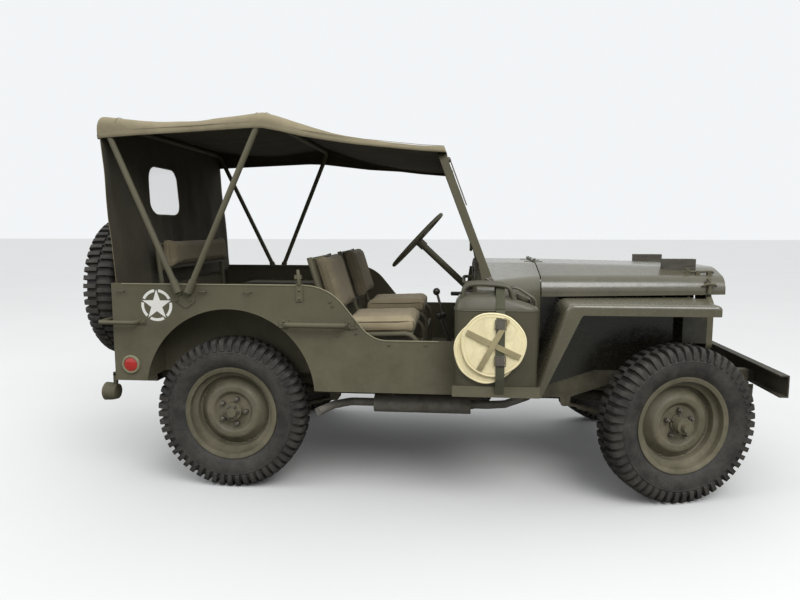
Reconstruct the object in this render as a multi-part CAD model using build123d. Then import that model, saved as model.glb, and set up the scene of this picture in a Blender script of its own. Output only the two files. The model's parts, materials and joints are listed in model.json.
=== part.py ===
from build123d import *
import math
import os

# Light 4x4 military car: a small open field car with a canvas top.
# Millimetres, +X forward, +Y to the driver's (left) side, +Z up, floor at Z = 0.
# Lengthwise places below are measured forward from the rear axle and turned into X by at().

# Running gear
wheelbase = 2032
track = 1240
front_overhang = 470
spare_offset = 134
spare_y = -280
spare_height = 925
body_rear = -530
tyre_width = 156
rear_overhang = spare_offset + tyre_width / 2 - body_rear
front_axle_x = (wheelbase + rear_overhang - front_overhang) / 2
rear_axle_x = front_axle_x - wheelbase
tyre_radius = 359
tyre_bead_radius = 206
tyre_bead_half = 50.4
rim_radius = 222
rim_width = 122
wheel_disc_offset = 22
hub_radius = 42
spindle_radius = 20
spindle_reach = 39
drum_radius = 128
drum_width = 50
plate_offset = 54
wheel_height = tyre_radius
pin_clearance = 0.3
steer_at_rest = 16
kingpin_offset = 90
kingpin_y = track / 2 - kingpin_offset
kingpin_radius = 12
ball_radius = 52
cup_clearance = 3
cup_wall = 11
steering_arm = 150
arm_thick = 14
axle_tube_radius = 32
diff_radius = 112
diff_y = -165
pinion_reach = 150

# Chassis
rail_outer = 371
rail_width = 44
rail_wall = 5
rail_top = 492
rail_depth = 96
rail_top_front = 556
rail_depth_front = 74
rail_rear_end = -480
rail_rise_x = 1560
rail_level_x = 1740
rear_kick = 31
bumper_height = 98
bumper_depth = 38
bumper_wall = 6
bumper_half = 680
bumper_bottom = 500
gearbox_low = 420
engine_low = 486
engine_top = 900
engine_rear_x = 1500
engine_front_x = 2120
fan_height = 700
fan_depth = 45
muffler_rear_x = 675
muffler_front_x = 1132
muffler_y = -560
muffler_height = 400
spring_y = 349
spring_width = 44
spring_leaf = 8
spring_leaves = 6
spring_eye_radius = 20
front_spring_half = 430
rear_spring_half = 440
spring_eye_height = rail_top - rail_depth - 28

# Body tub
wall = 3
body_half = 737
body_top = 980
body_bottom = 492
body_rear_bottom = 523
sill_height = 734
cut_top_x = 486
cut_low_x = 686
cut_top_radius = 230
cut_low_radius = 150
arch_x = 21
arch_height = 465
arch_radius = 400
arch_front_x = 446
dash_x = 1150
cowl_bend_x = 1225
fire_x = 1453
cowl_front_half = 500
cowl_top = 1058
flat_half = 230
shoulder_drop = 62
wheelhouse_y = 500
wheelhouse_top = 880
seal = 0.3

# Hood, grille and fenders
hood_gap = 5
hood_front_x = 2325
hood_front_half = 400
hood_front_top = 1042
hood_low_rear = 912
hood_low_front = 920
hood_shoulder = 74
hood_hinge_radius = 4
hood_hinge_half = 170
grille_x = 2262
grille_return = 24
grille_half = 432
grille_low_half = 368
grille_top = 1012
grille_bottom = rail_top_front
grille_slots = 9
radiator_x = 2206
slot_width = 24
slot_pitch = 44
lamp_radius = 88
lamp_y = 330
lamp_height = 800
fender_top = 905
fender_skirt = 48
fender_corner_x = 1567
fender_foot_x = 1425
fender_foot_height = 486
fender_front_x = 2190
fender_roll = 16
apron_y = rail_outer
apron_bend_x = 2104
block_rear_x = 2068
block_front_x = 2222
block_y = 270

# Windshield
pivot_x = 1208
pivot_height = 992
rake = 21
windshield_half = 700
windshield_height = 621
frame_tube = 34
glass_thick = 6
pane_low = 210
pane_bar = 12

# Canvas top
bow_foot_x = -174
bow_foot_height = 941
bow_foot_y = body_half + 24
bow_socket = 60
bow_top_y = 705
bow_radius = 13.5
rear_bow_x = -546
rear_bow_height = 1710
main_bow_x = 190
main_bow_height = 1724
roof_rise = 26
roof_rear_reach = 20
canvas_thick = 4
canvas_half = 731
canvas_front_rise = 8.154
canvas_front_lip = 28
curtain_low_x = -510
curtain_top_drop = 30

# Cab
wheel_centre_x = 814
wheel_centre_height = 1159
driver_y = 350
steering_wheel_radius = 219
column_angle = 43
column_radius = 20
column_seat = 23
seat_y = 370
seat_tube = 12
seat_top_x = 370
pan_front = 742
pan_rear = 728
rear_seat_half = 415

# Equipment on the right side
can_length = 345
can_depth = 165
can_height = 470
can_x = 1229
can_bottom = 540
can_gap = 12
bucket_radius = 140


def at(ahead_of_rear_axle):
    return rear_axle_x + ahead_of_rear_axle


def outline(*corners):
    """Closed flat outline. Each corner is (u, v) or (u, v, fillet radius)."""
    rows = [(c[0], c[1], c[2] if len(c) > 2 else 0) for c in corners]
    count = len(rows)
    edges = []
    starts = []
    ends = []
    arcs = []
    for i, (u, v, radius) in enumerate(rows):
        here = Vector(u, v)
        back = (Vector(rows[i - 1][0], rows[i - 1][1]) - here).normalized()
        ahead = (Vector(rows[(i + 1) % count][0], rows[(i + 1) % count][1]) - here).normalized()
        if radius == 0:
            starts.append(here)
            ends.append(here)
            arcs.append(None)
            continue
        half = math.radians(back.get_angle(ahead)) / 2
        reach = radius / math.tan(half)
        middle = (back + ahead).normalized() * (radius / math.sin(half) - radius)
        starts.append(here + back * reach)
        ends.append(here + ahead * reach)
        arcs.append(here + middle)
    for i in range(count):
        if arcs[i] is not None:
            edges.append(ThreePointArc(starts[i], arcs[i], ends[i]))
        following = starts[(i + 1) % count]
        if (following - ends[i]).length > 0.01:
            edges.append(Line(ends[i], following))
    return make_face(edges)


def along_y(face, y_low, y_high):
    """Extrude a face drawn in X, Z from y_low to y_high."""
    place = Plane(origin=(0, y_high, 0), x_dir=(1, 0, 0), z_dir=(0, -1, 0))
    return extrude(place * face, y_high - y_low)


def along_x(face, x_low, x_high):
    """Extrude a face drawn in Y, Z from x_low to x_high."""
    place = Plane(origin=(x_low, 0, 0), x_dir=(0, 1, 0), z_dir=(1, 0, 0))
    return extrude(place * face, x_high - x_low)


def along_z(face, z_low, z_high):
    """Extrude a face drawn in X, Y from z_low to z_high."""
    return extrude(Plane.XY.offset(z_low) * face, z_high - z_low)


def block(x_low, x_high, y_low, y_high, z_low, z_high):
    size = (x_high - x_low, y_high - y_low, z_high - z_low)
    middle = ((x_low + x_high) / 2, (y_low + y_high) / 2, (z_low + z_high) / 2)
    return Pos(*middle) * Box(*size)


def rod(start, end, radius):
    """Round bar between two points."""
    line = Vector(*end) - Vector(*start)
    place = Plane(origin=start, z_dir=line)
    return extrude(place * Circle(radius), line.length)


def bent_rod(points, bend, radius):
    """Round bar through points, with each corner bent at one radius."""
    path = FilletPolyline(*points, radius=bend)
    place = Plane(origin=path @ 0, z_dir=path % 0)
    return sweep(place * Circle(radius), path=path)


def mirrored(shape):
    return mirror(shape, Plane.XZ)


def both_sides(shape):
    return Compound(children=[s for s in shape.solids()] + [s for s in mirrored(shape).solids()])


def together(*shapes):
    solids = []
    for shape in shapes:
        solids.extend(shape.solids())
    return solids[0] if len(solids) == 1 else Compound(children=solids)


def ring(rows):
    """Solid of revolution about Y from a closed outline of (across, radius) corners."""
    face = Plane(origin=(0, 0, 0), x_dir=(0, 1, 0), z_dir=(1, 0, 0)) * outline(*rows)
    return revolve(face, Axis.Y)


# Chassis frame


def frame_rails():
    front = wheelbase + front_overhang - bumper_depth
    low = rail_top - rail_depth
    front_low = rail_top_front - rail_depth_front
    rear_low = rail_top + rear_kick - rail_depth_front
    side = outline(
        (at(rail_rear_end), rear_low), (at(rail_rear_end), rail_top + rear_kick),
        (at(arch_front_x - 140), rail_top + rear_kick), (at(arch_front_x - 10), rail_top),
        (at(rail_rise_x), rail_top), (at(rail_level_x), rail_top_front),
        (at(front), rail_top_front), (at(front), front_low),
        (at(1850), front_low), (at(1620), low), (at(420), low), (at(260), rear_low))
    inner = outline(
        (at(rail_rear_end), rear_low + rail_wall), (at(rail_rear_end), rail_top + rear_kick - rail_wall),
        (at(arch_front_x - 140), rail_top + rear_kick - rail_wall), (at(arch_front_x - 10), rail_top - rail_wall),
        (at(1470), rail_top - rail_wall), (at(1470), low + rail_wall),
        (at(420), low + rail_wall), (at(260), rear_low + rail_wall))
    rail = along_y(side, -rail_outer, -rail_outer + rail_width)
    rail -= along_y(inner, -rail_outer + rail_wall, -rail_outer + rail_width)
    return both_sides(rail)


def frame_crossmembers():
    inside = rail_outer - rail_width
    pieces = []
    # centre along X, half length, bottom, top
    rows = (
        (-452, 28, rail_top + rear_kick - 70, rail_top + rear_kick),
        (250, 26, rail_top + rear_kick - rail_depth_front, rail_top + rear_kick),
        (1260, 45, rail_top - rail_depth, gearbox_low),
        (radiator_x, 30, rail_top_front - rail_depth_front, rail_top_front),
        (2400, 24, rail_top_front - rail_depth_front, rail_top_front),
    )
    for centre, half, low, high in rows:
        pieces.append(block(at(centre - half), at(centre + half), -inside, inside, low, high))
    return Compound(children=pieces)


def front_bumper():
    front = at(wheelbase + front_overhang)
    back = front - bumper_depth
    top = bumper_bottom + bumper_height
    body = block(back, front, -bumper_half, bumper_half, bumper_bottom, top)
    body -= block(back, front - bumper_wall, -bumper_half, bumper_half,
                  bumper_bottom + bumper_wall, top - bumper_wall)
    # the two frame horns end on pads inside the channel
    for side in (-1, 1):
        low_y = side * rail_outer if side < 0 else rail_outer - rail_width
        body += block(back, front - bumper_wall, low_y, low_y + rail_width,
                      bumper_bottom + bumper_wall, rail_top_front)
    return body


def rear_bumperettes():
    rail_end = at(rail_rear_end)
    top = rail_top + rear_kick
    face_x = at(body_rear - 55)
    guard = block(face_x, rail_end, -rail_outer - 60, -rail_outer + rail_width + 60, top - 78, top - 4)
    guard -= block(face_x + 6, rail_end, -rail_outer - 54, -rail_outer + rail_width + 54, top - 72, top - 10)
    guard += block(face_x + 6, rail_end, -rail_outer, -rail_outer + rail_width, top - 72, top - 10)
    return both_sides(guard)


def tow_hook():
    back = at(-480)
    mid = rail_top + rear_kick - 40
    body = block(back - 12, back, -60, 60, mid - 30, mid + 30)
    body += along_y(outline((back - 12, mid - 22), (back - 12, mid + 22), (back - 70, mid + 22, 8),
                            (back - 118, mid + 6, 20), (back - 118, mid - 34, 16), (back - 84, mid - 34, 8),
                            (back - 84, mid - 10, 8), (back - 60, mid - 22, 8)), -20, 20)
    return body


def leaf_pack(centre_x, half, eye_height, seat_height):
    """Leaves stacked under the axle seat; the main leaf rises to an eye at each end."""
    span = half
    rise = eye_height - seat_height
    radius = (span * span + rise * rise) / (2 * rise)
    pack = None
    for i in range(spring_leaves):
        reach = span * (1 - 0.15 * i)
        low = spring_leaf * (i + 1)
        inner = radius + low - spring_leaf
        outer = radius + low
        angle = math.degrees(math.asin(reach / radius))
        arc = CenterArc((0, 0), outer, 270 - angle, 2 * angle)
        arc_in = CenterArc((0, 0), inner, 270 - angle, 2 * angle)
        face = make_face([arc, arc_in, Line(arc @ 0, arc_in @ 0), Line(arc @ 1, arc_in @ 1)])
        leaf = along_y(Pos(centre_x, seat_height + radius) * face, -spring_width / 2, spring_width / 2)
        pack = leaf if pack is None else pack + leaf
    for side in (-1, 1):
        eye = along_y(Pos(centre_x + side * span, eye_height + 6) * Circle(spring_eye_radius),
                      -spring_width / 2, spring_width / 2)
        pack += eye
    return pack


def spring_seat_height():
    return wheel_height - axle_tube_radius - 14


def leaf_springs():
    pieces = []
    for centre, half in ((at(0), rear_spring_half), (at(wheelbase), front_spring_half)):
        pack = leaf_pack(centre, half, spring_eye_height, spring_seat_height())
        pieces.append(Pos(0, -spring_y, 0) * pack)
        pieces.append(Pos(0, spring_y, 0) * pack)
    return together(*pieces)


def spring_brackets():
    """Hangers and shackles from the rails down to the spring eyes."""
    pieces = []
    inside = spring_width / 2
    rear_low = rail_top + rear_kick - rail_depth_front
    low = rail_top - rail_depth
    front_low = rail_top_front - rail_depth_front
    eye = spring_eye_height + 6
    # eye centre along X, underside of the rail there
    rows = (
        (at(-rear_spring_half), rear_low),
        (at(rear_spring_half), low),
        (at(wheelbase - front_spring_half), low),
        (at(wheelbase + front_spring_half), front_low),
    )
    for x, under in rows:
        for y in (-spring_y, spring_y):
            for side in (-1, 1):
                cheek_low = y + inside if side > 0 else y - inside - 5
                face = outline((x - 26, under + 4), (x + 26, under + 4), (x + 22, eye - 22, 18),
                               (x - 22, eye - 22, 18))
                pieces.append(along_y(face, cheek_low, cheek_low + 5))
    return Compound(children=pieces)


# Axles, knuckles and wheels


def axle_tube(x, half, nose):
    """Axle housing; nose is the way its pinion housing points along X."""
    tube = along_y(Pos(x, wheel_height) * Circle(axle_tube_radius), -half, half)
    rows = ((diff_y - 92, 34), (diff_y - 40, diff_radius, 50), (diff_y + 40, diff_radius, 50), (diff_y + 92, 34),
            (diff_y + 92, 0), (diff_y - 92, 0))
    tube += Pos(x, 0, wheel_height) * ring(rows)
    tube += rod((x, diff_y, wheel_height), (x + nose * pinion_reach, diff_y, wheel_height), 42)
    for y in (-spring_y, spring_y):
        tube += block(x - 30, x + 30, y - 26, y + 26, spring_seat_height() + seal, wheel_height - 20)
    return tube


def front_axle():
    x = front_axle_x
    axle = axle_tube(x, kingpin_y - 20, -1)
    for side in (-1, 1):
        ball = Pos(x, side * kingpin_y, wheel_height) * Sphere(ball_radius)
        hole = Pos(x, side * kingpin_y, wheel_height) * Cylinder(kingpin_radius + pin_clearance, 2 * ball_radius)
        flange = rod((x, side * (kingpin_y - 62), wheel_height), (x, side * (kingpin_y - 50), wheel_height), 44)
        axle += ball - hole
        axle += flange
    return axle


def rear_axle():
    x = rear_axle_x
    half = track / 2 - plate_offset
    axle = axle_tube(x, half, 1)
    for side in (-1, 1):
        axle += rod((x, side * half, wheel_height), (x, side * (half + 7), wheel_height), drum_radius + 6)
        axle += rod((x, side * half, wheel_height), (x, side * (track / 2 + spindle_reach), wheel_height),
                    spindle_radius)
    return axle


def knuckle_body():
    """Left knuckle, straight ahead, about its own kingpin at the origin; outboard is +Y."""
    inner = ball_radius + cup_clearance
    outer = inner + cup_wall
    cup = Sphere(outer) - Sphere(inner)
    cup -= block(-outer, outer, -outer, 4, -outer, outer)
    spindle = rod((0, inner + 2, 0), (0, kingpin_offset + spindle_reach, 0), spindle_radius)
    plate_y = kingpin_offset - plate_offset
    plate = rod((0, plate_y, 0), (0, plate_y + 7, 0), drum_radius + 6)
    plate -= rod((0, plate_y, 0), (0, plate_y + 7, 0), 46)
    cap = block(-24, 24, -22, 30, inner + 4, inner + 18)
    pin = Pos(0, 0, inner - 8) * Cylinder(kingpin_radius, 44)
    top = cap + pin
    knuckle = cup + spindle + plate + top + mirror(top, Plane.XY)
    return knuckle


def knuckle(side):
    body = knuckle_body()
    arm = along_z(outline((-24, -22), (-24, 24), (24, 24), (steering_arm - 10, 18), (steering_arm + 20, 18, 16),
                          (steering_arm + 20, -18, 16), (steering_arm - 10, -18), (24, -22)),
                  arm_height(), arm_height() + arm_thick)
    body += arm
    if side < 0:
        body = mirrored(body)
    return Pos(front_axle_x, side * kingpin_y, wheel_height) * (Rot(0, 0, steer_at_rest) * body)


def arm_height():
    """Underside of the steering arm above the axle."""
    return ball_radius + cup_clearance + cup_wall + 3


def tie_rod():
    lean = math.radians(steer_at_rest)
    x = front_axle_x + steering_arm * math.cos(lean)
    shift = steering_arm * math.sin(lean)
    top = wheel_height + arm_height() - pin_clearance
    body = rod((x, -kingpin_y + shift, top - 14), (x, kingpin_y + shift, top - 14), 12)
    for side in (-1, 1):
        body += Pos(x, side * kingpin_y + shift, top - 14) * Cylinder(19, 28)
    return body


def tyre():
    """Tyre about the origin, with its axle along Y."""
    half = tyre_width / 2
    rows = (
        (-tyre_bead_half, tyre_bead_radius), (-tyre_bead_half - 4.2, rim_radius + 1),
        (-half + 4, rim_radius + 14, 12), (-half, tyre_radius - 78, 60), (-half + 12, tyre_radius - 4, 16),
        (half - 12, tyre_radius - 4, 16), (half, tyre_radius - 78, 60), (half - 4, rim_radius + 14, 12),
        (tyre_bead_half + 4.2, rim_radius + 1), (tyre_bead_half, tyre_bead_radius),
        (tyre_bead_half - 14, tyre_bead_radius), (tyre_bead_half - 14, rim_radius),
        (-tyre_bead_half + 14, rim_radius), (-tyre_bead_half + 14, tyre_bead_radius))
    carcass = ring(rows)
    crown = ring(((-half + 24, tyre_radius - 20), (-half + 24, tyre_radius), (half - 24, tyre_radius),
                  (half - 24, tyre_radius - 20)))
    return carcass + crown


def rim():
    """Steel wheel about the origin; outboard is +Y."""
    half = rim_width / 2
    seat = tyre_bead_radius - seal
    disc = wheel_disc_offset
    rows = (
        (-half, rim_radius), (-half + 6, rim_radius), (-half + 10, seat), (-24, seat), (-18, seat - 24),
        (18, seat - 24), (24, seat), (half - 10, seat), (half - 6, rim_radius), (half, rim_radius),
        (half, rim_radius - 5), (half - 4, seat - 5), (26, seat - 5), (21, seat - 30),
        (disc - 40, seat - 34, 6), (disc - 26, 158, 16), (disc + 9, 126, 22), (disc + 9, 98, 14),
        (disc - 8, 84, 6), (disc - 8, hub_radius + 1), (disc - 13, hub_radius + 1), (disc - 13, 86, 5),
        (disc + 4, 100, 10), (disc + 4, 123, 18), (disc - 32, 156, 14), (disc - 46, seat - 29, 4),
        (-21, seat - 29), (-26, seat - 5), (-half + 4, seat - 5), (-half, rim_radius - 5))
    return ring(rows)


def hub(front):
    """Brake drum and hub about the origin; outboard is +Y."""
    back = wheel_disc_offset - 13
    drum = ring(((back - drum_width, drum_radius), (back - 6, drum_radius, 8), (back, 96), (back, 0.001),
                 (back - 8, 0.001), (back - 8, drum_radius - 8), (back - drum_width, drum_radius - 8)))
    nose = 62 if front else 30
    centre = rod((0, back, 0), (0, back + nose, 0), hub_radius if not front else 36)
    if front:
        centre += rod((0, back, 0), (0, back + 16, 0), hub_radius)
        centre += rod((0, back + nose, 0), (0, back + nose + 26, 0), 22)
    else:
        centre += rod((0, back + nose, 0), (0, back + nose + 16, 0), 22)
    bore = rod((0, back - 10, 0), (0, spindle_reach + 4, 0), spindle_radius + pin_clearance)
    return drum + centre - bore


def wheel_at(shape, x, y, steered):
    """Turn a wheel piece to its side of the car and put it on its axle."""
    side = 1 if y > 0 else -1
    piece = shape if side > 0 else mirrored(shape)
    if not steered:
        return Pos(x, y, wheel_height) * piece
    return (Pos(x, side * kingpin_y, wheel_height) * Rot(0, 0, steer_at_rest)
            * Pos(0, side * kingpin_offset, 0) * piece)


# Engine and drive line


def engine():
    front = at(engine_front_x)
    body = block(at(engine_rear_x), front, -150, 120, engine_low, engine_top)
    body += block(at(engine_rear_x + 30), front - 40, -110, 90, engine_top, engine_top + 68)
    body += rod((front, -15, fan_height), (front + fan_depth, -15, fan_height), 70)
    return body


def engine_mounts():
    inside = rail_outer - rail_width
    pieces = []
    for centre in (engine_rear_x + 140, engine_front_x - 40):
        low = engine_low + 2
        pieces.append(block(at(centre - 30), at(centre + 30), 120, inside, low, low + 24))
        pieces.append(block(at(centre - 30), at(centre + 30), -inside, -150, low, low + 24))
    return Compound(children=pieces)


def drivetrain():
    low = 300
    under_floor = body_bottom - 4
    body = along_y(outline((at(960), 330, 20), (at(960), 470, 10), (at(1180), under_floor, 10),
                           (at(fire_x) + 8, under_floor), (at(fire_x) + 8, 640), (at(engine_rear_x), 640),
                           (at(engine_rear_x), 500), (at(engine_rear_x - 80), gearbox_low),
                           (at(1190), gearbox_low), (at(1180), low, 20), (at(990), low, 20)), -120, 90)
    body += block(at(1000), at(1150), diff_y - 70, -119, low + 20, 470)
    return body


def drive_shafts():
    """Propeller shafts from the transfer case to the two axles."""
    rear = rod((at(pinion_reach), diff_y, wheel_height), (at(1000), diff_y, wheel_height), 25)
    front = rod((at(1150), diff_y, wheel_height), (at(wheelbase - pinion_reach), diff_y, wheel_height), 25)
    return Compound(children=[rear, front])


def skid_plate():
    low = 252
    face = outline((at(930), 330), (at(960), low + 30, 20), (at(1030), low, 20), (at(1150), low, 20),
                   (at(1230), low + 30, 20), (at(1290), rail_top - rail_depth), (at(1284), rail_top - rail_depth),
                   (at(1225), low + 36, 20),
                   (at(1150), low + 6, 20), (at(1030), low + 6, 20), (at(965), low + 36, 20), (at(936), 330))
    return along_y(face, -130, 120)


def exhaust():
    height = muffler_height
    low = rail_top - rail_depth - 24
    y = muffler_y
    pipe_radius = 19
    muffler = along_x(Pos(y, height) * Ellipse(56, 44), at(muffler_rear_x), at(muffler_front_x))
    pipe = bent_rod([(at(muffler_front_x), y, height), (at(muffler_front_x + 78), y, height),
                     (at(1300), -440, low), (at(1430), -280, low), (at(1520), -240, 480),
                     (at(1560), -235, 560), (at(1560), -150, 560)], 30, pipe_radius)
    tail = bent_rod([(at(430), y - 150, height - 10), (at(490), y - 60, height), (at(560), y, height),
                     (at(muffler_rear_x), y, height)], 40, pipe_radius)
    body = muffler + pipe + tail
    for x in (muffler_rear_x + 85, muffler_front_x - 82):
        body += block(at(x), at(x + 4), y - 20, y + 20, height + 36, body_bottom)
    return body


# Body tub


def body_side_face():
    return outline(
        (at(body_rear), body_rear_bottom), (at(body_rear), body_top),
        (at(cut_top_x), body_top, cut_top_radius), (at(cut_low_x), sill_height, cut_low_radius),
        (at(dash_x - 50), sill_height, 60), (at(dash_x - 14), body_top), (at(dash_x), body_top),
        (at(dash_x), body_bottom), (at(arch_front_x), body_bottom),
        (at(arch_x - arch_radius + 20), body_rear_bottom))


def arch_cut():
    """Rear wheel opening: a round top with a nearly straight front leg."""
    top = arch_height
    round_part = Pos(at(arch_x), top) * Circle(arch_radius)
    foot = outline((at(arch_x - arch_radius + 12), body_bottom - 40), (at(arch_x - arch_radius), top),
                   (at(arch_x + arch_radius), top), (at(arch_front_x + 4), body_bottom - 40))
    return round_part + foot


def body_side(side):
    panel = along_y(body_side_face() - arch_cut(), body_half - wall, body_half)
    # rolled top edge along the whole opening
    lip = along_y(outline((at(body_rear) + wall, body_top - 14), (at(body_rear) + wall, body_top),
                          (at(cut_top_x - 112), body_top), (at(cut_top_x - 112), body_top - 14)),
                  body_half - 18, body_half - wall)
    panel += lip
    return panel if side > 0 else mirrored(panel)


def rear_panel():
    inside = body_half - wall
    panel = along_x(outline((-inside, body_rear_bottom), (-inside, body_top), (inside, body_top),
                            (inside, body_rear_bottom)), at(body_rear), at(body_rear) + wall)
    return panel


def floor():
    low = body_bottom
    inside = body_half - wall
    rear = block(at(body_rear) + wall, at(arch_front_x - 6), -inside, inside, body_rear_bottom,
                 body_rear_bottom + 4)
    riser = block(at(arch_front_x - 10), at(arch_front_x - 6), -inside, inside, low, body_rear_bottom)
    main = block(at(arch_front_x - 10), at(dash_x), -inside, inside, low, low + 4)
    body = rear + riser + main
    for side in (-1, 1):
        y_low = min(side * wheelhouse_y, side * inside)
        well = block(at(-400), at(arch_front_x - 14), y_low, y_low + inside - wheelhouse_y, low, wheelhouse_top)
        body -= well
    return body


def wheelhouse_face(inset):
    low = body_rear_bottom
    return outline((at(-400) + inset, low), (at(-400) + inset, wheelhouse_top - inset, 90 - inset),
                   (at(arch_front_x - 14) - inset, wheelhouse_top - inset, 120 - inset),
                   (at(arch_front_x - 14) - inset, low))


def wheelhouses():
    outer = body_half - wall
    house = along_y(wheelhouse_face(0), wheelhouse_y, outer)
    house -= along_y(wheelhouse_face(4), wheelhouse_y + 4, outer)
    return both_sides(house)


# Cowl, hood and front end


def hood_section(half, low, top, drop, shoulder):
    """Cross-section in Y, Z: flat crown, sloping shoulders and upright sides."""
    return outline((-half, low), (-half, top - drop, shoulder), (-flat_half, top, 300),
                   (flat_half, top, 300), (half, top - drop, shoulder), (half, low))


def section_at(x, face):
    return Plane(origin=(x, 0, 0), x_dir=(0, 1, 0), z_dir=(1, 0, 0)) * face


def cowl_loft(inset):
    rear = section_at(at(dash_x), hood_section(body_half - inset, body_bottom, cowl_top - inset,
                                               shoulder_drop, 70 - inset))
    bend = section_at(at(cowl_bend_x), hood_section(body_half - inset, body_bottom, cowl_top - inset,
                                                    shoulder_drop, 70 - inset))
    front = section_at(at(fire_x), hood_section(cowl_front_half - inset, body_bottom, cowl_top - inset,
                                                shoulder_drop, hood_shoulder - inset))
    return loft([rear, bend, front], ruled=True)


def cowl():
    shell = cowl_loft(0)
    core = cowl_loft(wall)
    core -= block(at(fire_x) - wall, at(fire_x), -body_half, body_half, 0, 2000)
    shell -= core
    # toe board opening: floor under the feet
    toe = along_y(outline((at(dash_x), body_bottom), (at(dash_x), body_bottom + 4), (at(1320), body_bottom + 4),
                          (at(fire_x) - wall, 640), (at(fire_x) - wall, 636), (at(1322), body_bottom)),
                  -body_half, body_half)
    shell += toe & core
    shell -= column_bore()
    return shell


def dash_panel():
    inside = body_half - wall - seal
    low = 870
    face = outline((-inside, low), (-inside, cowl_top - shoulder_drop - 20, 40), (-flat_half, cowl_top - 14, 300),
                   (flat_half, cowl_top - 14, 300), (inside, cowl_top - shoulder_drop - 20, 40), (inside, low),
                   (driver_y + 44, low), (driver_y + 44, 800, 30), (driver_y - 44, 800, 30), (driver_y - 44, low))
    panel = along_x(face, at(dash_x), at(dash_x) + 4)
    panel -= column_bore()
    return panel & cowl_loft(wall)


def hood_loft(inset, low_drop):
    rear = section_at(at(fire_x) + hood_gap, hood_section(cowl_front_half - inset, hood_low_rear - low_drop,
                                                          cowl_top - inset, shoulder_drop, hood_shoulder - inset))
    front = section_at(at(hood_front_x), hood_section(hood_front_half - inset, hood_low_front - low_drop,
                                                      hood_front_top - inset, shoulder_drop - 12,
                                                      hood_shoulder - inset))
    return loft([rear, front], ruled=True)


def hood():
    shell = hood_loft(0, 0) - hood_loft(wall, 20)
    x = at(fire_x) + hood_gap / 2
    z = cowl_top + hood_hinge_radius + 4.5
    for y in (-hood_hinge_half + 20, 0, hood_hinge_half - 20):
        eye = along_y(Pos(x, z) * Circle(hood_hinge_radius + 4), y - 20, y + 20)
        leaf = block(x, x + 44, y - 20, y + 20, cowl_top - 2, cowl_top + 3)
        shell += (eye + leaf) - along_y(Pos(x, z) * Circle(hood_hinge_radius + pin_clearance), y - 20, y + 20)
    return shell


def hood_hinge():
    x = at(fire_x) + hood_gap / 2
    z = cowl_top + hood_hinge_radius + 4.5
    body = rod((x, -hood_hinge_half, z), (x, hood_hinge_half, z), hood_hinge_radius)
    for y in (-hood_hinge_half + 60, hood_hinge_half - 60):
        body += along_y(Pos(x, z) * Circle(hood_hinge_radius + 4), y - 18, y + 18)
        body += block(x - 44, x, y - 18, y + 18, cowl_top, cowl_top + 3)
    body -= block(x - hood_gap / 2 + 0.2, x + 40, -400, 400, 0, cowl_top)
    return body


def hood_blocks():
    """Two wooden rests on the hood, which the windshield frame meets when it is folded."""
    pieces = []
    for y in (-block_y, block_y):
        blank = block(at(block_rear_x), at(block_front_x), y - 22, y + 22, cowl_top - 50, cowl_top + 24)
        pieces.append(blank - hood_loft(-seal, 0))
    return together(*pieces)


def grille_outline(inset):
    side = grille_half - inset
    low_side = grille_low_half - inset
    upper_side = hood_front_half - 10 - inset
    top = grille_top - inset
    return outline((-low_side, grille_bottom), (-low_side, 600 + inset / 2), (-side, 680, 40 - inset),
                   (-side, 880, 30), (-upper_side, 915, 20 + inset), (-upper_side, top, 90 - inset),
                   (upper_side, top, 90 - inset), (upper_side, 915, 20 + inset), (side, 880, 30),
                   (side, 680, 40 - inset), (low_side, 600 + inset / 2), (low_side, grille_bottom))


def grille():
    face = grille_outline(0)
    edge = face - grille_outline(wall)
    for i in range(grille_slots):
        y = (i - (grille_slots - 1) / 2) * slot_pitch
        face -= Pos(y, 765) * SlotOverall(400, slot_width, rotation=90)
    for side in (-1, 1):
        face -= Pos(side * lamp_y, lamp_height) * Circle(lamp_radius - 6)
    back = at(grille_x)
    return along_x(face, back, back + wall) + along_x(edge, back - grille_return, back)


def radiator():
    return block(at(radiator_x - 30), at(radiator_x + 30), -240, 240, rail_top_front, 985)


def headlamps():
    pieces = []
    for side in (-1, 1):
        x = at(grille_x) - 6
        bowl = Pos(x, side * lamp_y, lamp_height) * (Rot(0, 90, 0) * Cylinder(lamp_radius, 12))
        back = Pos(x - 6, side * lamp_y, lamp_height) * Sphere(lamp_radius - 4)
        back -= block(x - 6, x + 200, -1000, 1000, 0, 2000)
        pieces.append(bowl + back)
    return together(*pieces)


def fender_profile(inset):
    """Side view of a front fender: flat top, slanted rear leg and a turned-down front."""
    top_x = at(fender_corner_x)
    foot_x = at(fender_foot_x)
    front_x = at(fender_front_x) - inset
    top = fender_top - inset
    low = fender_top - fender_skirt
    drop = 2 if inset else 0
    return outline((foot_x - 22 + inset * 1.06, fender_foot_height - drop),
                   (top_x - 22 + inset * 1.06, top, 40 - inset),
                   (front_x, top, 20 - inset), (front_x, low - drop),
                   (top_x + 40, low - drop, 16), (foot_x + 14, fender_foot_height - drop))


def fender_roll_edges(body):
    """Edges of the outer side that the rolled edge follows: rear leg, top and front."""
    outside = body.bounding_box().max.Y
    leg_middle = at((fender_foot_x + fender_corner_x) / 2)
    picked = []
    for edge in body.edges():
        middle = edge @ 0.5
        if min((edge @ 0).Y, (edge @ 1).Y) < outside - 0.01:
            continue
        on_top = middle.Z > fender_top - 25
        on_leg = middle.X < leg_middle and middle.Z > fender_foot_height + 60
        on_front = middle.X > at(fender_front_x) - wall - 0.1
        if on_top or on_leg or on_front:
            picked.append(edge)
    return picked


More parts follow.
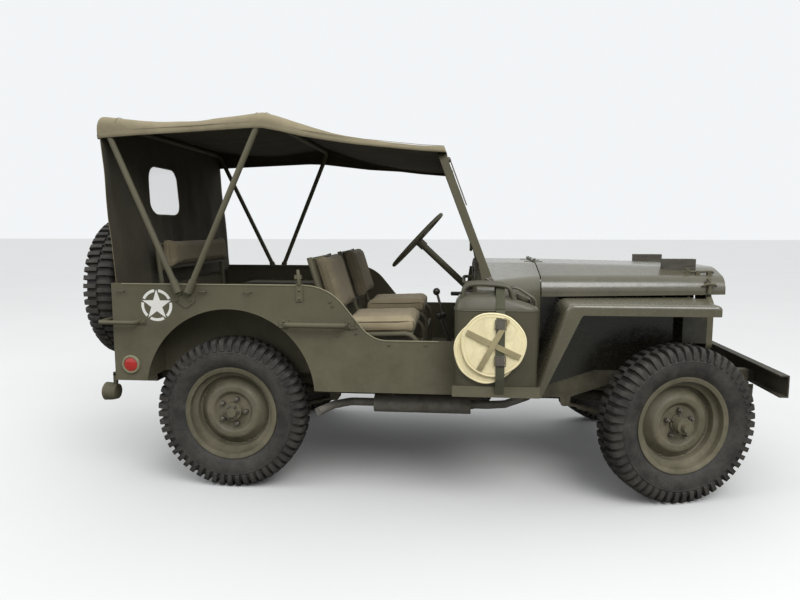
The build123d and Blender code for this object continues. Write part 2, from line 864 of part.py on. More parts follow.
def apron():
    """Upright panel inside the fender, stepping out round the lamp at its front."""
    inner = apron_y
    outer = grille_half
    rear = at(fire_x) + seal
    bend = at(apron_bend_x)
    front = at(grille_x) - grille_return - seal
    top = fender_top - wall
    plan = outline((rear, inner), (bend, inner), (bend + 26, outer - wall), (front, outer - wall),
                   (front, outer), (bend + 24, outer), (bend - 2, inner + wall), (rear, inner + wall))
    side = outline((rear, 440), (rear, top), (front, top), (front, 690), (bend - 10, 690), (bend - 60, 540),
                   (at(rail_level_x), 540), (at(1507), 457))
    return along_z(plan, 300, top) & along_y(side, 0, body_half)


def fender():
    """Left front fender with its rolled outer edge and the apron below it."""
    low = fender_top - fender_skirt
    front_x = at(fender_front_x)
    body = along_y(fender_profile(0), apron_y, body_half)
    body = fillet(fender_roll_edges(body), fender_roll)
    core = along_y(fender_profile(wall), apron_y, body_half - wall)
    core = fillet(fender_roll_edges(core), fender_roll - wall)
    body -= core
    body -= cowl_loft(-seal)
    # the front lip ends at the apron, clear of the lamp
    body -= block(front_x - wall, front_x, apron_y, grille_half - wall, low - 1, fender_top - wall)
    body += apron()
    return body.solids().sort_by(SortBy.VOLUME)[-1]


# Windshield and top


def windshield_plane():
    lean = math.radians(rake)
    return Plane(origin=(at(pivot_x), 0, pivot_height), x_dir=(0, 1, 0),
                 z_dir=(math.cos(lean), 0, math.sin(lean)))


def windshield_front(height):
    """How far ahead of the rear axle the frame's front face is at a height."""
    lean = math.radians(rake)
    return pivot_x + frame_tube / 2 / math.cos(lean) - (height - pivot_height) * math.tan(lean)


def canvas_front_height():
    """Roof sheet's height at the windshield, a little above the frame's front corner."""
    lean = math.radians(rake)
    frame_top = pivot_height + windshield_height * math.cos(lean) + frame_tube / 2 * math.sin(lean)
    return frame_top + canvas_front_rise


def pane_face():
    half = windshield_half
    high = windshield_height
    return outline((-half + frame_tube, pane_low, 30), (-half + frame_tube, high - frame_tube, 30),
                   (-pane_bar, high - frame_tube, 10), (-pane_bar, pane_low, 10))


def windshield_frame():
    half = windshield_half
    high = windshield_height
    outer = outline((-half, 14), (-half, high, 60), (half, high, 60), (half, 14), (half - 25, 21),
                    (flat_half, 80, 300), (-flat_half, 80, 300), (-half + 25, 21))
    opening = pane_face()
    face = outer - opening - mirror(opening, Plane.YZ)
    thick = extrude(face, frame_tube / 2, both=True)
    skirt_cut = outline((-half + frame_tube, 58, 10), (-half + frame_tube, 180, 10), (half - frame_tube, 180, 10),
                        (half - frame_tube, 58, 10), (flat_half, 114, 300), (-flat_half, 114, 300))
    for low, high_side in ((-frame_tube / 2, -2), (2, frame_tube / 2)):
        thick -= Pos(0, 0, low) * extrude(skirt_cut, high_side - low)
    return windshield_plane() * thick


def windshield_glass():
    pane = pane_face()
    faces = pane + mirror(pane, Plane.YZ)
    return windshield_plane() * extrude(faces, glass_thick / 2, both=True)


def windshield_hinges():
    pieces = []
    x = at(pivot_x)
    for side in (-1, 1):
        low_y = min(side * windshield_half, side * (windshield_half + 8))
        arm = along_y(outline((x - 20, pivot_height - 60), (x - 52, pivot_height + 90, 12),
                              (x - 22, pivot_height + 100, 12), (x + 20, pivot_height - 10, 10),
                              (x + 26, pivot_height - 60)), low_y, low_y + 8)
        arm -= cowl_loft(0)
        pieces.append(arm)
    return together(*pieces)


# foot shift along X, top place along X, height of the top bar
bow_rows = (
    (-22, rear_bow_x, rear_bow_height),
    (22, main_bow_x, main_bow_height),
)


def bow_foot(shift, top_x, top_height):
    """Foot of a bow's right leg, and the point where its socket ends."""
    foot = Vector(at(bow_foot_x) + shift, -bow_foot_y, bow_foot_height)
    top = Vector(at(top_x), -bow_top_y, top_height)
    return foot, foot + (top - foot).normalized() * bow_socket


def top_bows():
    pieces = []
    for shift, top_x, top_height in bow_rows:
        foot, start = bow_foot(shift, top_x, top_height)
        points = [tuple(start), (at(top_x), -bow_top_y, top_height), (at(top_x), bow_top_y, top_height),
                  (start.X, -start.Y, start.Z)]
        pieces.append(bent_rod(points, 60, bow_radius))
    return together(*pieces)


def bow_brackets():
    x = at(bow_foot_x)
    z = bow_foot_height
    face = outline((x - 46, z - 41, 12), (x - 40, z + 21, 12), (x + 40, z + 21, 12), (x + 46, z - 41, 12),
                   (x, z - 75, 14))
    body = along_y(face, -body_half - 5, -body_half)
    for shift, top_x, top_height in bow_rows:
        foot, start = bow_foot(shift, top_x, top_height)
        body += rod(tuple(foot), tuple(start), bow_radius + 4)
        body += rod((foot.X, -body_half - 4, foot.Z), (foot.X, foot.Y, foot.Z), 12)
    return both_sides(body)


def roof_rows():
    """Roof line from the rear bow to the windshield: ahead of the rear axle, height, fillet."""
    rear_top = rear_bow_height + roof_rise
    main_top = main_bow_height + roof_rise
    front_top = canvas_front_height()
    span = windshield_front(front_top) - main_bow_x
    fall = main_top - front_top
    rows = [(rear_bow_x - roof_rear_reach, rear_top, 24), (rear_bow_x + 146, rear_top - 20, 500),
            (main_bow_x - 290, main_top - 38, 500), (main_bow_x + 14, main_top, 110)]
    # share of the way to the windshield, share of the fall that is left
    for share, left in ((0.26, 0.56), (0.51, 0.265), (0.76, 0.085)):
        rows.append((main_bow_x + span * share, front_top + fall * left, 500))
    return rows


def canvas_top():
    """Roof sheet with turned-down side hems, drawn as its side profile."""
    t = canvas_thick
    slant = math.cos(math.radians(rake))
    high = canvas_front_height()
    low = high - canvas_front_lip
    open_low = high - 86

    def front(height, off):
        return windshield_front(height) + off / slant

    roof = roof_rows()
    roof.append((front(high, seal + t), high, 6))
    hem = ((front(low, seal + t), low), (front(low, 0) - 290, low + 30, 500),
           (main_bow_x + 185, main_bow_height - 88, 400), (main_bow_x + 30, main_bow_height - 50, 60),
           (main_bow_x - 190, main_bow_height - 58),
           (rear_bow_x - roof_rear_reach, rear_bow_height - 73))
    face = outline(*[(at(c[0]),) + c[1:] for c in (*roof, *hem)])
    body = along_y(face, -canvas_half, canvas_half)
    core = [(roof[0][0] + t, roof[0][1] - t, roof[0][2] - t)]
    core += [(x, z - t, radius - t) for x, z, radius in roof[1:-1]]
    core += [(front(high - t, seal), high - t, 3), (front(open_low, seal), open_low), (roof[0][0] + t, open_low)]
    inside = canvas_half - t
    body -= along_y(outline(*[(at(c[0]),) + tuple(c[1:]) for c in core]), -inside, inside)
    return body


def canvas_rear():
    """Rear curtain from the roof to the tub, with one window."""
    half = canvas_half - canvas_thick - seal
    top_z = rear_bow_height - curtain_top_drop
    low_z = body_top - 40
    top_x = rear_bow_x - roof_rear_reach + 1.5 * canvas_thick + 2 * seal
    lean = math.atan2(curtain_low_x - top_x, top_z - low_z)
    place = Plane(origin=(at(curtain_low_x), 0, low_z), x_dir=(0, 1, 0),
                  z_dir=(math.cos(lean), 0, math.sin(lean)))
    height = (top_z - low_z) / math.cos(lean)
    face = outline((-half, 60), (-half, height), (half, height), (half, 60), (half - 26, 0), (-half + 26, 0))
    face -= Pos(-120, 1430 - low_z) * RectangleRounded(330, 250, 80)
    return place * extrude(face, canvas_thick / 2, both=True)


# Seats and controls


def front_seat(y):
    """Tube frame of one front seat, with a pan under the cushion and a plate behind the back."""
    half = 225
    bar = 9
    base = body_bottom + 4
    frame = None
    for side in (-1, 1):
        path = [(at(880), y + side * half, base), (at(880), y + side * half, pan_front),
                (at(480), y + side * half, pan_rear), (at(seat_top_x), y + side * half, 1095)]
        leg = bent_rod(path, 60, seat_tube)
        leg += rod((at(520), y + side * half, base), (at(520), y + side * half, pan_rear), bar)
        frame = leg if frame is None else frame + leg
    for x, z in ((seat_top_x + 3, 1084), (520, 640), (880, 640)):
        frame += rod((at(x), y - half, z), (at(x), y + half, z), bar)
    frame += along_y(pan_outline(), y - half, y + half)
    frame += along_y(back_outline(), y - half, y + half)
    return frame


def pan_outline():
    return outline((at(500), pan_rear - 2), (at(500), pan_rear + 1), (at(860), pan_front + 1),
                   (at(860), pan_front - 2))


def back_outline():
    return outline((at(461), 812), (at(464), 812), (at(seat_top_x + 14), 1080), (at(seat_top_x + 11), 1080))


def front_seat_pads():
    pieces = []
    for y in (-seat_y, seat_y):
        cushion = along_y(outline((at(500), pan_rear + 1, 10), (at(500), 796, 28), (at(890), 810, 28),
                                  (at(890), pan_front + 1 + 30 * 14 / 360, 14)), y - 208, y + 208)
        back = along_y(outline((at(464), 812, 12), (at(seat_top_x + 14), 1080), (at(seat_top_x + 4), 1110, 24),
                               (at(seat_top_x + 66), 1116, 26), (at(526), 824, 20)), y - 208, y + 208)
        pieces.extend([cushion, back])
    return together(*pieces)


def rear_seat():
    """Tube frame of the rear bench, with its pan and back plate."""
    half = rear_seat_half
    bar = 9
    base = body_rear_bottom + 4
    frame = None
    for side in (-1, 1):
        path = [(at(-150), side * half, base), (at(-150), side * half, 760), (at(-425), side * half, 742),
                (at(-462), side * half, 1160)]
        leg = bent_rod(path, 50, seat_tube)
        frame = leg if frame is None else frame + leg
    for x, z in ((-464, 1146), (-150, 660)):
        frame += rod((at(x), -half, z), (at(x), half, z), bar)
    frame += along_y(outline((at(-405), 742), (at(-405), 745), (at(-165), 761), (at(-165), 758)), -half, half)
    frame += along_y(outline((at(-444), 1020), (at(-441), 1020), (at(-452), 1140), (at(-455), 1140)), -half, half)
    return frame


def rear_seat_pads():
    half = rear_seat_half - seat_tube - 3
    cushion = along_y(outline((at(-405), 745), (at(-405), 826, 26), (at(-135), 842, 26), (at(-135), 763, 16)),
                      -half, half)
    back = along_y(outline((at(-441), 1020, 8), (at(-454.75), 1170, 8), (at(-440), 1188, 14), (at(-402), 1188, 20),
                           (at(-388), 1020, 12)), -half, half)
    return together(cushion, back)


def column_length():
    """From the wheel's centre to the column's end inside the steering box."""
    return (fire_x + column_seat - wheel_centre_x) / math.cos(math.radians(column_angle))


def column_direction():
    lean = math.radians(column_angle)
    return Vector(math.cos(lean), 0, -math.sin(lean))


def steering_column():
    along = column_direction()
    centre = Vector(at(wheel_centre_x), driver_y, wheel_centre_height)
    start = centre + along * 60
    end = centre + along * column_length()
    box = block(at(fire_x) + 6, at(fire_x + 92), driver_y - 40, rail_outer - 3, rail_top, 590)
    return rod(tuple(start), tuple(end), column_radius) + box


def column_bore():
    """Hole that the column passes through, a little wider than the column."""
    along = column_direction()
    centre = Vector(at(wheel_centre_x), driver_y, wheel_centre_height)
    return rod(tuple(centre + along * 200), tuple(centre + along * column_length()),
               column_radius + pin_clearance)


def steering_wheel():
    along = column_direction()
    centre = Vector(at(wheel_centre_x), driver_y, wheel_centre_height)
    place = Plane(origin=tuple(centre), x_dir=(0, 1, 0), z_dir=tuple(along * -1))
    rim_ring = place * Torus(steering_wheel_radius - 11, 11)
    hub_part = rod(tuple(centre + along * 59.7), tuple(centre - along * 6), 26)
    body = rim_ring + hub_part
    for turn in (90, 210, 330):
        angle = math.radians(turn)
        tip = place.from_local_coords((math.cos(angle) * (steering_wheel_radius - 14),
                                       math.sin(angle) * (steering_wheel_radius - 14), 0))
        body += rod(tuple(centre + along * 14), tuple(tip), 6)
    return body


def shift_levers():
    x = at(985)
    base = body_bottom + 4
    body = rod((x + 70, -20, base + 6), (x - 40, 10, 880), 7)
    body += Pos(x + 70, -20, base + 3) * Cylinder(38, 6)
    body += Pos(x - 40, 10, 880) * Sphere(20)
    return body


# Lamps, handles and equipment


def grab_handles():
    """Bent bars on both sides: one round the rear corner, one before the door cut."""
    out = body_half + 40
    z = 802
    back = at(body_rear)
    side_bar = bent_rod([(at(300), body_half, z), (at(300), out, z), (at(570), out, z), (at(570), body_half, z)],
                        24, 9.5)
    rear_bar = bent_rod([(at(-404), body_half, z), (at(-404), out, z), (back - 48, out, z),
                         (back - 48, body_half - 92, z), (back, body_half - 92, z)], 24, 9.5)
    for x in (285, 585):
        side_bar += block(at(x) - 22, at(x) + 22, body_half, body_half + 4, z - 12, z + 12)
    rear_bar += block(at(-412), at(-368), body_half, body_half + 4, z - 12, z + 12)
    rear_bar += block(back - 4, back, body_half - 120, body_half - 78, z - 12, z + 12)
    return both_sides(together(side_bar, rear_bar))


def spare_carrier():
    y = spare_y
    z = spare_height
    x = at(body_rear)
    body = rod((x, y, z), (x - spare_offset - wheel_disc_offset + 13, y, z), 38)
    body += rod((x - spare_offset - wheel_disc_offset + 33, y, z),
                (x - spare_offset - wheel_disc_offset + 13, y, z), 74)
    body += block(x - 8, x, y - 170, y + 170, z - 60, z)
    return body


def spare_place():
    """The spare's middle plane: its disc seats on the carrier's end."""
    return Pos(at(body_rear) - spare_offset, spare_y, spare_height) * Rot(0, 0, 90)


def tail_lamps():
    x = at(body_rear)
    y = -630
    z = 440
    body = rod((x - 108, y, z), (x - 44, y, z), 44)
    arm = along_y(outline((x - 60, z + 30), (x - 60, z + 60, 8), (x, body_rear_bottom + 40), (x, body_rear_bottom),
                          (x - 44, z + 30, 8)), y - 10, y + 10)
    return both_sides(body + arm)


def reflectors():
    disc = along_y(Pos(at(-450), 600) * Circle(43), body_half, body_half + 9)
    return both_sides(disc)


def mirror_arm():
    x = at(pivot_x) + 10
    body = rod((x - 20, windshield_half + 8, 1040), (x - 70, 880, 1130), 7)
    body += Pos(x - 74, 868, 1140) * (Rot(0, 90, 0) * Cylinder(66, 18))
    body -= block(x - 110, x + 60, 0, windshield_half + 8, 900, 1200)
    return body


def can_inner():
    return -(body_half + can_gap)


def jerrycan():
    half = can_length / 2
    x = at(can_x)
    face = outline((x - half, can_bottom, 26), (x - half, can_bottom + 388, 70), (x - half + 60, can_bottom + 420, 20),
                   (x + half - 20, can_bottom + 378, 30), (x + half, can_bottom, 26))
    body = along_y(face, can_inner() - can_depth, can_inner())
    for y in (-56, 0, 56):
        mid = can_inner() - can_depth / 2 + y
        body += bent_rod([(x - 90, mid, can_bottom + 400), (x - 80, mid, can_bottom + can_height - 10),
                          (x + 60, mid, can_bottom + can_height - 10), (x + 76, mid, can_bottom + 380)], 16, 8)
    return body


def jerrycan_tray():
    half = can_length / 2 + 8
    x = at(can_x)
    inner = -body_half
    outer = can_inner() - can_depth - 8
    tray = block(x - half, x + half, outer, inner, can_bottom - 6, can_bottom)
    tray += block(x - half, x + half, outer, outer + 4, can_bottom - 6, can_bottom + 40)
    tray += block(x - half, x + 40, inner - 4, inner, can_bottom - 40, can_bottom + 120)
    return tray


def canvas_bucket():
    x = at(can_x)
    y = can_inner() - can_depth - seal
    return Pos(x - 4, y - 17, 746) * (Rot(90, 0, 0) * Cylinder(bucket_radius, 34))


parts = {
    "frame_rails": frame_rails() + spring_brackets(),
    "frame_crossmembers": together(frame_crossmembers() + tow_hook()),
    "front_bumper": front_bumper(),
    "rear_bumperettes": rear_bumperettes(),
    "skid_plate": skid_plate(),
    "leaf_springs": leaf_springs(),
    "front_axle": front_axle(),
    "rear_axle": rear_axle(),
    "engine": engine() + engine_mounts(),
    "drivetrain": drivetrain() + drive_shafts(),
    "exhaust": exhaust(),
    "body_side_right": body_side(-1),
    "body_side_left": body_side(1),
    "rear_panel": rear_panel() + spare_carrier(),
    "floor": floor(),
    "wheelhouses": wheelhouses(),
    "cowl": cowl() + hood_hinge(),
    "dash_panel": dash_panel(),
    "hood": hood(),
    "hood_blocks": hood_blocks(),
    "grille": grille(),
    "radiator": radiator(),
    "headlamps": headlamps(),
    "fender_left": fender(),
    "fender_right": mirrored(fender()),
    "windshield_frame": windshield_frame() + windshield_hinges(),
    "windshield_glass": windshield_glass(),
    "top_bows": top_bows(),
    "bow_sockets": bow_brackets(),
    "canvas_top": canvas_top(),
    "canvas_rear": canvas_rear(),
    "seat_frames": together(front_seat(-seat_y), front_seat(seat_y), rear_seat()),
    "seat_pads": together(front_seat_pads(), rear_seat_pads()),
    "steering_column": steering_column(),
    "steering_wheel": steering_wheel(),
    "gear_lever": shift_levers(),
    "grab_handles": grab_handles(),
    "spare_tyre": spare_place() * tyre(),
    "spare_rim": spare_place() * rim(),
    "rear_lamps": together(tail_lamps(), reflectors()),
    "mirror": mirror_arm(),
    "jerrycan": jerrycan(),
    "jerrycan_tray": jerrycan_tray(),
    "canvas_bucket": canvas_bucket(),
    "tie_rod": tie_rod(),
    "knuckle_left": knuckle(1),
    "knuckle_right": knuckle(-1),
}

# name, X, side, steered
wheel_rows = (
    ("front_left", front_axle_x, 1, True),
    ("front_right", front_axle_x, -1, True),
    ("rear_left", rear_axle_x, 1, False),
    ("rear_right", rear_axle_x, -1, False),
)
for name, x, side, steered in wheel_rows:
    y = side * track / 2
    parts["tyre_" + name] = wheel_at(tyre(), x, y, steered)
    parts["wheel_" + name] = wheel_at(rim() + hub(steered), x, y, steered)

os.makedirs("parts", exist_ok=True)
for name, shape in parts.items():
    export_step(shape, "parts/" + name + ".step")
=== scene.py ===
import json
import math

import bmesh
import bpy
from mathutils import Matrix, Vector, noise


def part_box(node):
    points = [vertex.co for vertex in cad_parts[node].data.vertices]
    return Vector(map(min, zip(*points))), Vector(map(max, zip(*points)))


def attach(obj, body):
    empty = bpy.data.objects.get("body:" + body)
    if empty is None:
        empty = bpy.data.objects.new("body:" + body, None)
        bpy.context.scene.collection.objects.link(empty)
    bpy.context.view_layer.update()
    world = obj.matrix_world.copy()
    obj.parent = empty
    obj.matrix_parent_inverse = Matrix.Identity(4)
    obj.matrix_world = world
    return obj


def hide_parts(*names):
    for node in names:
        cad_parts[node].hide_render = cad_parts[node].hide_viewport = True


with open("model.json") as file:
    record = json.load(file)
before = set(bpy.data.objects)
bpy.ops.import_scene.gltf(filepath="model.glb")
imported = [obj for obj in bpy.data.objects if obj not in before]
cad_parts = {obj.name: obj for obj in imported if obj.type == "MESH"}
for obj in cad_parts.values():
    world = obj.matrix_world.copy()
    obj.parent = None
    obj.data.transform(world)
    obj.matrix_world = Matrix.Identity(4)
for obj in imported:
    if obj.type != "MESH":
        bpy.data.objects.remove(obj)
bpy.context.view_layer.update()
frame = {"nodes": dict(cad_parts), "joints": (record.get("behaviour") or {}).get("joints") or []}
nodes = frame["nodes"]
joints = {joint["name"]: joint for joint in frame["joints"]}
scene = bpy.context.scene

# Places taken from the frame, in metres
rear_axle = joints["rear_left_spin"]["pos_m"][0]
wheel_height = joints["rear_left_spin"]["pos_m"][2]
front_axle = joints["steer_left"]["pos_m"][0]
body_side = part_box("body_side_left")[1].y
body_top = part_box("body_side_left")[1].z
tyre_low, tyre_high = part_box("tyre_rear_left")
tyre_radius = tyre_high.z - wheel_height
tyre_half = (tyre_high.y - tyre_low.y) / 2
fender_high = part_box("fender_left")[1]
arch_inner = (fender_high.y - 0.12, fender_high.y - 0.06)
arch_top = fender_high.z - 0.03
can_low, can_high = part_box("jerrycan")
bucket_low, bucket_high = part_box("canvas_bucket")
roof_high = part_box("canvas_top")[1]
wheel_names = ("front_left", "front_right", "rear_left", "rear_right")
both_sides = (-1, 1)
forward = Vector((1, 0, 0))
outboard = Vector((0, 1, 0))
upward = Vector((0, 0, 1))

# Colours, linear
olive = (0.098, 0.09, 0.056)
dark_olive = (0.06, 0.056, 0.036)
khaki = (0.27, 0.232, 0.15)
seat_tan = (0.235, 0.195, 0.125)
cream = (0.92, 0.8, 0.5)
web_tan = (0.34, 0.29, 0.165)
web_green = (0.085, 0.085, 0.055)
dust_colour = (0.3, 0.26, 0.19)
primer_brown = (0.13, 0.085, 0.055)
steel_grime = (0.09, 0.065, 0.045)
rubber_black = (0.028, 0.027, 0.025)
rubber_dust = (0.125, 0.113, 0.095)
star_white = (0.8, 0.79, 0.74)


def at(ahead):
    """Place along X, given as metres ahead of the rear axle."""
    return rear_axle + ahead


# Nodes


class Nodes:
    """Adds nodes to the tree of a material or of the world."""

    def __init__(self, tree):
        self.tree = tree

    def add(self, kind, settings=None, inputs=None):
        made = self.tree.nodes.new(kind)
        for key, value in (settings or {}).items():
            setattr(made, key, value)
        for key, value in (inputs or {}).items():
            self.feed(made.inputs[key], value)
        return made

    def feed(self, place, value):
        """Link a socket to an input, or set the input to a number or a colour."""
        if isinstance(value, bpy.types.NodeSocket):
            self.tree.links.new(value, place)
        elif place.type == "RGBA":
            place.default_value = (*value, 1.0)
        else:
            place.default_value = value

    def remap(self, value, low, high, to_low=0.0, to_high=1.0):
        inputs = {0: value, 1: low, 2: high, 3: to_low, 4: to_high}
        return self.add("ShaderNodeMapRange", inputs=inputs).outputs[0]

    def maths(self, kind, a, b=0.0):
        return self.add("ShaderNodeMath", {"operation": kind}, {0: a, 1: b}).outputs[0]

    def times(self, first, *others):
        for other in others:
            first = self.maths("MULTIPLY", first, other)
        return first

    def along(self, coords, index):
        """One coordinate: 0 is X, 1 is Y, 2 is Z."""
        return self.add("ShaderNodeSeparateXYZ", inputs={0: coords}).outputs[index]


class Look(Nodes):
    """A material whose pattern lies in object coordinates, so in metres of the shared frame."""

    def __init__(self, name):
        self.material = bpy.data.materials.new(name)
        self.material.use_nodes = True
        super().__init__(self.material.node_tree)
        self.shader = self.tree.nodes["Principled BSDF"]
        self.coords = self.add("ShaderNodeTexCoord").outputs["Object"]

    def noise(self, scale, detail, rough=0.6, stretch=None):
        coords = self.coords
        if stretch:
            coords = self.add("ShaderNodeMapping", inputs={"Vector": coords, "Scale": stretch}).outputs[0]
        settings = {"Vector": coords, "Scale": scale, "Detail": detail, "Roughness": rough}
        return self.add("ShaderNodeTexNoise", inputs=settings).outputs[0]

    def clouds(self, low, high, *noise_settings):
        """Noise between two levels, stretched to run from 0 to 1."""
        return self.remap(self.noise(*noise_settings), low, high)

    def waves(self, direction, scale, **inputs):
        return self.add("ShaderNodeTexWave", {"bands_direction": direction},
                        {"Vector": self.coords, "Scale": scale, **inputs}).outputs[1]

    def mix(self, factor, a, b):
        return self.add("ShaderNodeMix", {"data_type": "RGBA"}, {0: factor, 6: a, 7: b}).outputs[2]

    def bump(self, height, strength, distance, under=None):
        inputs = {"Height": height, "Strength": strength, "Distance": distance}
        if under is not None:
            inputs["Normal"] = under
        return self.add("ShaderNodeBump", inputs=inputs).outputs[0]

    def done(self, base, rough, normal=None, **others):
        """Feed the shader; an underscore in a name stands for a space."""
        self.feed(self.shader.inputs["Base Color"], base)
        self.feed(self.shader.inputs["Roughness"], rough)
        if normal is not None:
            self.feed(self.shader.inputs["Normal"], normal)
        for name, value in others.items():
            self.feed(self.shader.inputs[name.replace("_", " ")], value)
        return self.material


def shade(colour, factor):
    """A colour made darker or brighter."""
    return tuple(min(1.0, c * factor) for c in colour)


# Materials


def painted(name, colour, rough=0.6, dust=0.45, chips=0.5, dust_top=0.95, shine=0.28, peel=0.1,
            arch_shade=0.0):
    """Flat military paint: uneven tone, dust low down, rain streaks, small chips and orange peel.

    arch_shade is painted shade: it darkens what faces the wheel, inboard of the fender's lip and below its
    top.
    """
    look = Look(name)
    base = look.mix(look.clouds(0.3, 0.7, 2.3, 6), shade(colour, 0.84), shade(colour, 1.15))
    streaks = look.clouds(0.52, 0.8, 1.0, 5, 0.7, (26, 26, 1.6))
    base = look.mix(look.times(streaks, 0.35), base, shade(colour, 0.62))
    low = look.remap(look.along(look.coords, 2), 0.12, dust_top, 1.0, 0.12)
    base = look.mix(look.times(low, look.clouds(0.35, 0.75, 7.0, 8, 0.7), dust), base, dust_colour)
    spots = look.clouds(0.735, 0.76, 85, 3, 0.55)
    base = look.mix(look.times(spots, look.clouds(0.52, 0.62, 5.0, 2), chips), base, primer_brown)
    # Painted shade on what faces the wheel, under the fender.
    if arch_shade:
        off_middle = look.maths("ABSOLUTE", look.along(look.coords, 1))
        inner = look.remap(off_middle, *arch_inner, 1.0, 0.0)
        under = look.remap(look.along(look.coords, 2), arch_top - 0.03, arch_top, 1.0, 0.0)
        base = look.mix(look.times(inner, under, arch_shade), base, shade(colour, 0.12))
    roughness = look.remap(look.noise(38, 4), 0.2, 0.8, rough - 0.07, rough + 0.12)
    grain = look.bump(look.noise(420, 3), peel, 0.0006)
    return look.done(base, roughness, look.bump(look.noise(9, 3), 1.6 * peel, 0.004, grain),
                     Specular_IOR_Level=shine)


def rubber(name, colour=rubber_black, dust=0.5):
    """Worn rubber with dust in blotches."""
    look = Look(name)
    cloud = look.clouds(0.38, 0.72, 12, 8, 0.72)
    base = look.mix(look.times(cloud, dust), colour, rubber_dust)
    base = look.mix(look.clouds(0.55, 0.8, 90, 4), base, shade(colour, 0.6))
    return look.done(base, look.remap(cloud, 0, 1, 0.62, 0.9), look.bump(look.noise(260, 5), 0.22, 0.0008),
                     Specular_IOR_Level=0.3)


def woven(name, colour, pitch=0.0016, fade=0.22, sheen=0.06):
    """Cotton duck: crossing threads, soft stains and sun fading."""
    look = Look(name)
    bands = None
    for direction in ("X", "Y", "Z"):
        wave = look.waves(direction, 0.314 / pitch, Distortion=0.35, Detail=1.0)
        bands = wave if bands is None else look.maths("ADD", bands, wave)
    threads = look.remap(bands, 0.2, 2.6)
    base = look.mix(look.clouds(0.32, 0.7, 4.2, 8, 0.66), shade(colour, 1 - fade), shade(colour, 1 + fade))
    base = look.mix(look.times(look.clouds(0.55, 0.72, 1.7, 4), 0.3), base, shade(colour, 0.6))
    slub = look.clouds(0.5, 0.75, 30, 4, 0.6, (1, 14, 1))
    base = look.mix(look.times(slub, 0.22), base, shade(colour, 1.35))
    base = look.mix(look.times(threads, 0.28), base, shade(colour, 0.55))
    weave = look.bump(threads, 0.35, 0.0007)
    return look.done(base, 0.88, look.bump(look.noise(22, 5), 0.25, 0.004, weave),
                     Sheen_Weight=sheen, Sheen_Roughness=0.55, Specular_IOR_Level=0.15)


def steel(name, colour, rough, metallic=1.0, grime=0.4):
    """Bare metal with blotches of grime, rougher where it is grimy."""
    look = Look(name)
    cloud = look.clouds(0.4, 0.75, 16, 7, 0.7)
    base = look.mix(look.times(cloud, grime), colour, steel_grime)
    return look.done(base, look.remap(cloud, 0, 1, rough, rough + 0.3),
                     look.bump(look.noise(150, 4), 0.15, 0.0008), Metallic=metallic)


def timber(name, colour):
    """Wood with its grain along X."""
    look = Look(name)
    grain = look.noise(6, 6, 0.6, (2, 30, 30))
    base = look.mix(look.remap(grain, 0.3, 0.7), shade(colour, 0.6), shade(colour, 1.6))
    return look.done(base, 0.55, look.bump(grain, 0.3, 0.001))


def clear(name, colour=(0.95, 0.97, 0.96), rough=0.02, haze=0.0):
    """Thin glass or celluloid: mostly see-through, with faint smears."""
    look = Look(name)
    smear = look.remap(look.noise(5, 6, 0.7), 0.45, 0.8, rough, rough + 0.12)
    return look.done(colour, smear, Alpha=0.1 + haze, Specular_IOR_Level=0.6)


def lens(name, colour, alpha, flutes):
    """Moulded lamp glass with upright flutes."""
    look = Look(name)
    base = look.mix(look.times(look.clouds(0.4, 0.8, 25, 5), 0.3), colour, shade(colour, 0.55))
    ridges = look.bump(look.waves("Y", 22.0), flutes, 0.003)
    return look.done(base, 0.12, ridges, Coat_Weight=0.5, Alpha=alpha)


paint = painted("olive_paint", olive)
hood_paint = painted("hood_paint", shade(olive, 0.8), rough=0.22, dust=0.3, chips=0.35, dust_top=1.2,
                     shine=0.8, peel=0.03)
# The fender's paint carries painted shade in its wheel arch.
fender_paint = painted("fender_paint", shade(olive, 0.92), rough=0.22, dust=0.35, shine=0.8, peel=0.04,
                       arch_shade=0.9)
cowl_paint = painted("cowl_paint", shade(olive, 0.92), rough=0.22, dust=0.35, shine=0.8, peel=0.04)
can_paint = painted("can_paint", shade(olive, 0.7), rough=0.4, dust=0.25, chips=0.8, shine=0.5)
wheel_paint = painted("wheel_paint", shade(olive, 0.9), rough=0.5, dust=0.55, chips=0.8, dust_top=1.4)
bumper_paint = painted("bumper_paint", shade(dark_olive, 0.45), dust=0.35)
# A lighter copy of the olive paint: painted highlight on the rolled body edges and the reflector rims.
rim_paint = painted("rim_paint", shade(olive, 2.2), rough=0.45, dust=0.2, chips=0.3, shine=0.5)
frame_paint = painted("frame_paint", dark_olive, rough=0.68, dust=0.9, chips=0.8, dust_top=0.8)
engine_paint = painted("engine_paint", (0.085, 0.09, 0.07), dust=0.5, chips=0.9, dust_top=1.2)
grip_plastic = painted("black_plastic", (0.02, 0.02, 0.018), rough=0.35, dust=0.15, chips=0.0)
white_paint = painted("star_paint", star_white, dust=0.2, chips=0.9)
gauge_face = painted("gauge_face", (0.015, 0.015, 0.014), rough=0.4, dust=0.0, chips=0.0)
tyre_rubber = rubber("tyre_rubber")
seal_rubber = rubber("seal_rubber", (0.02, 0.02, 0.02), 0.2)
canvas = woven("canvas_khaki", khaki)
canvas_dark = woven("canvas_hem", shade(khaki, 0.6))
# Inner face of the roof and the curtain: the canvas darkened as painted shade.
canvas_inside = woven("canvas_inside", shade(khaki, 0.22))
seat_cloth = woven("seat_cloth", shade(seat_tan, 0.78), fade=0.16)
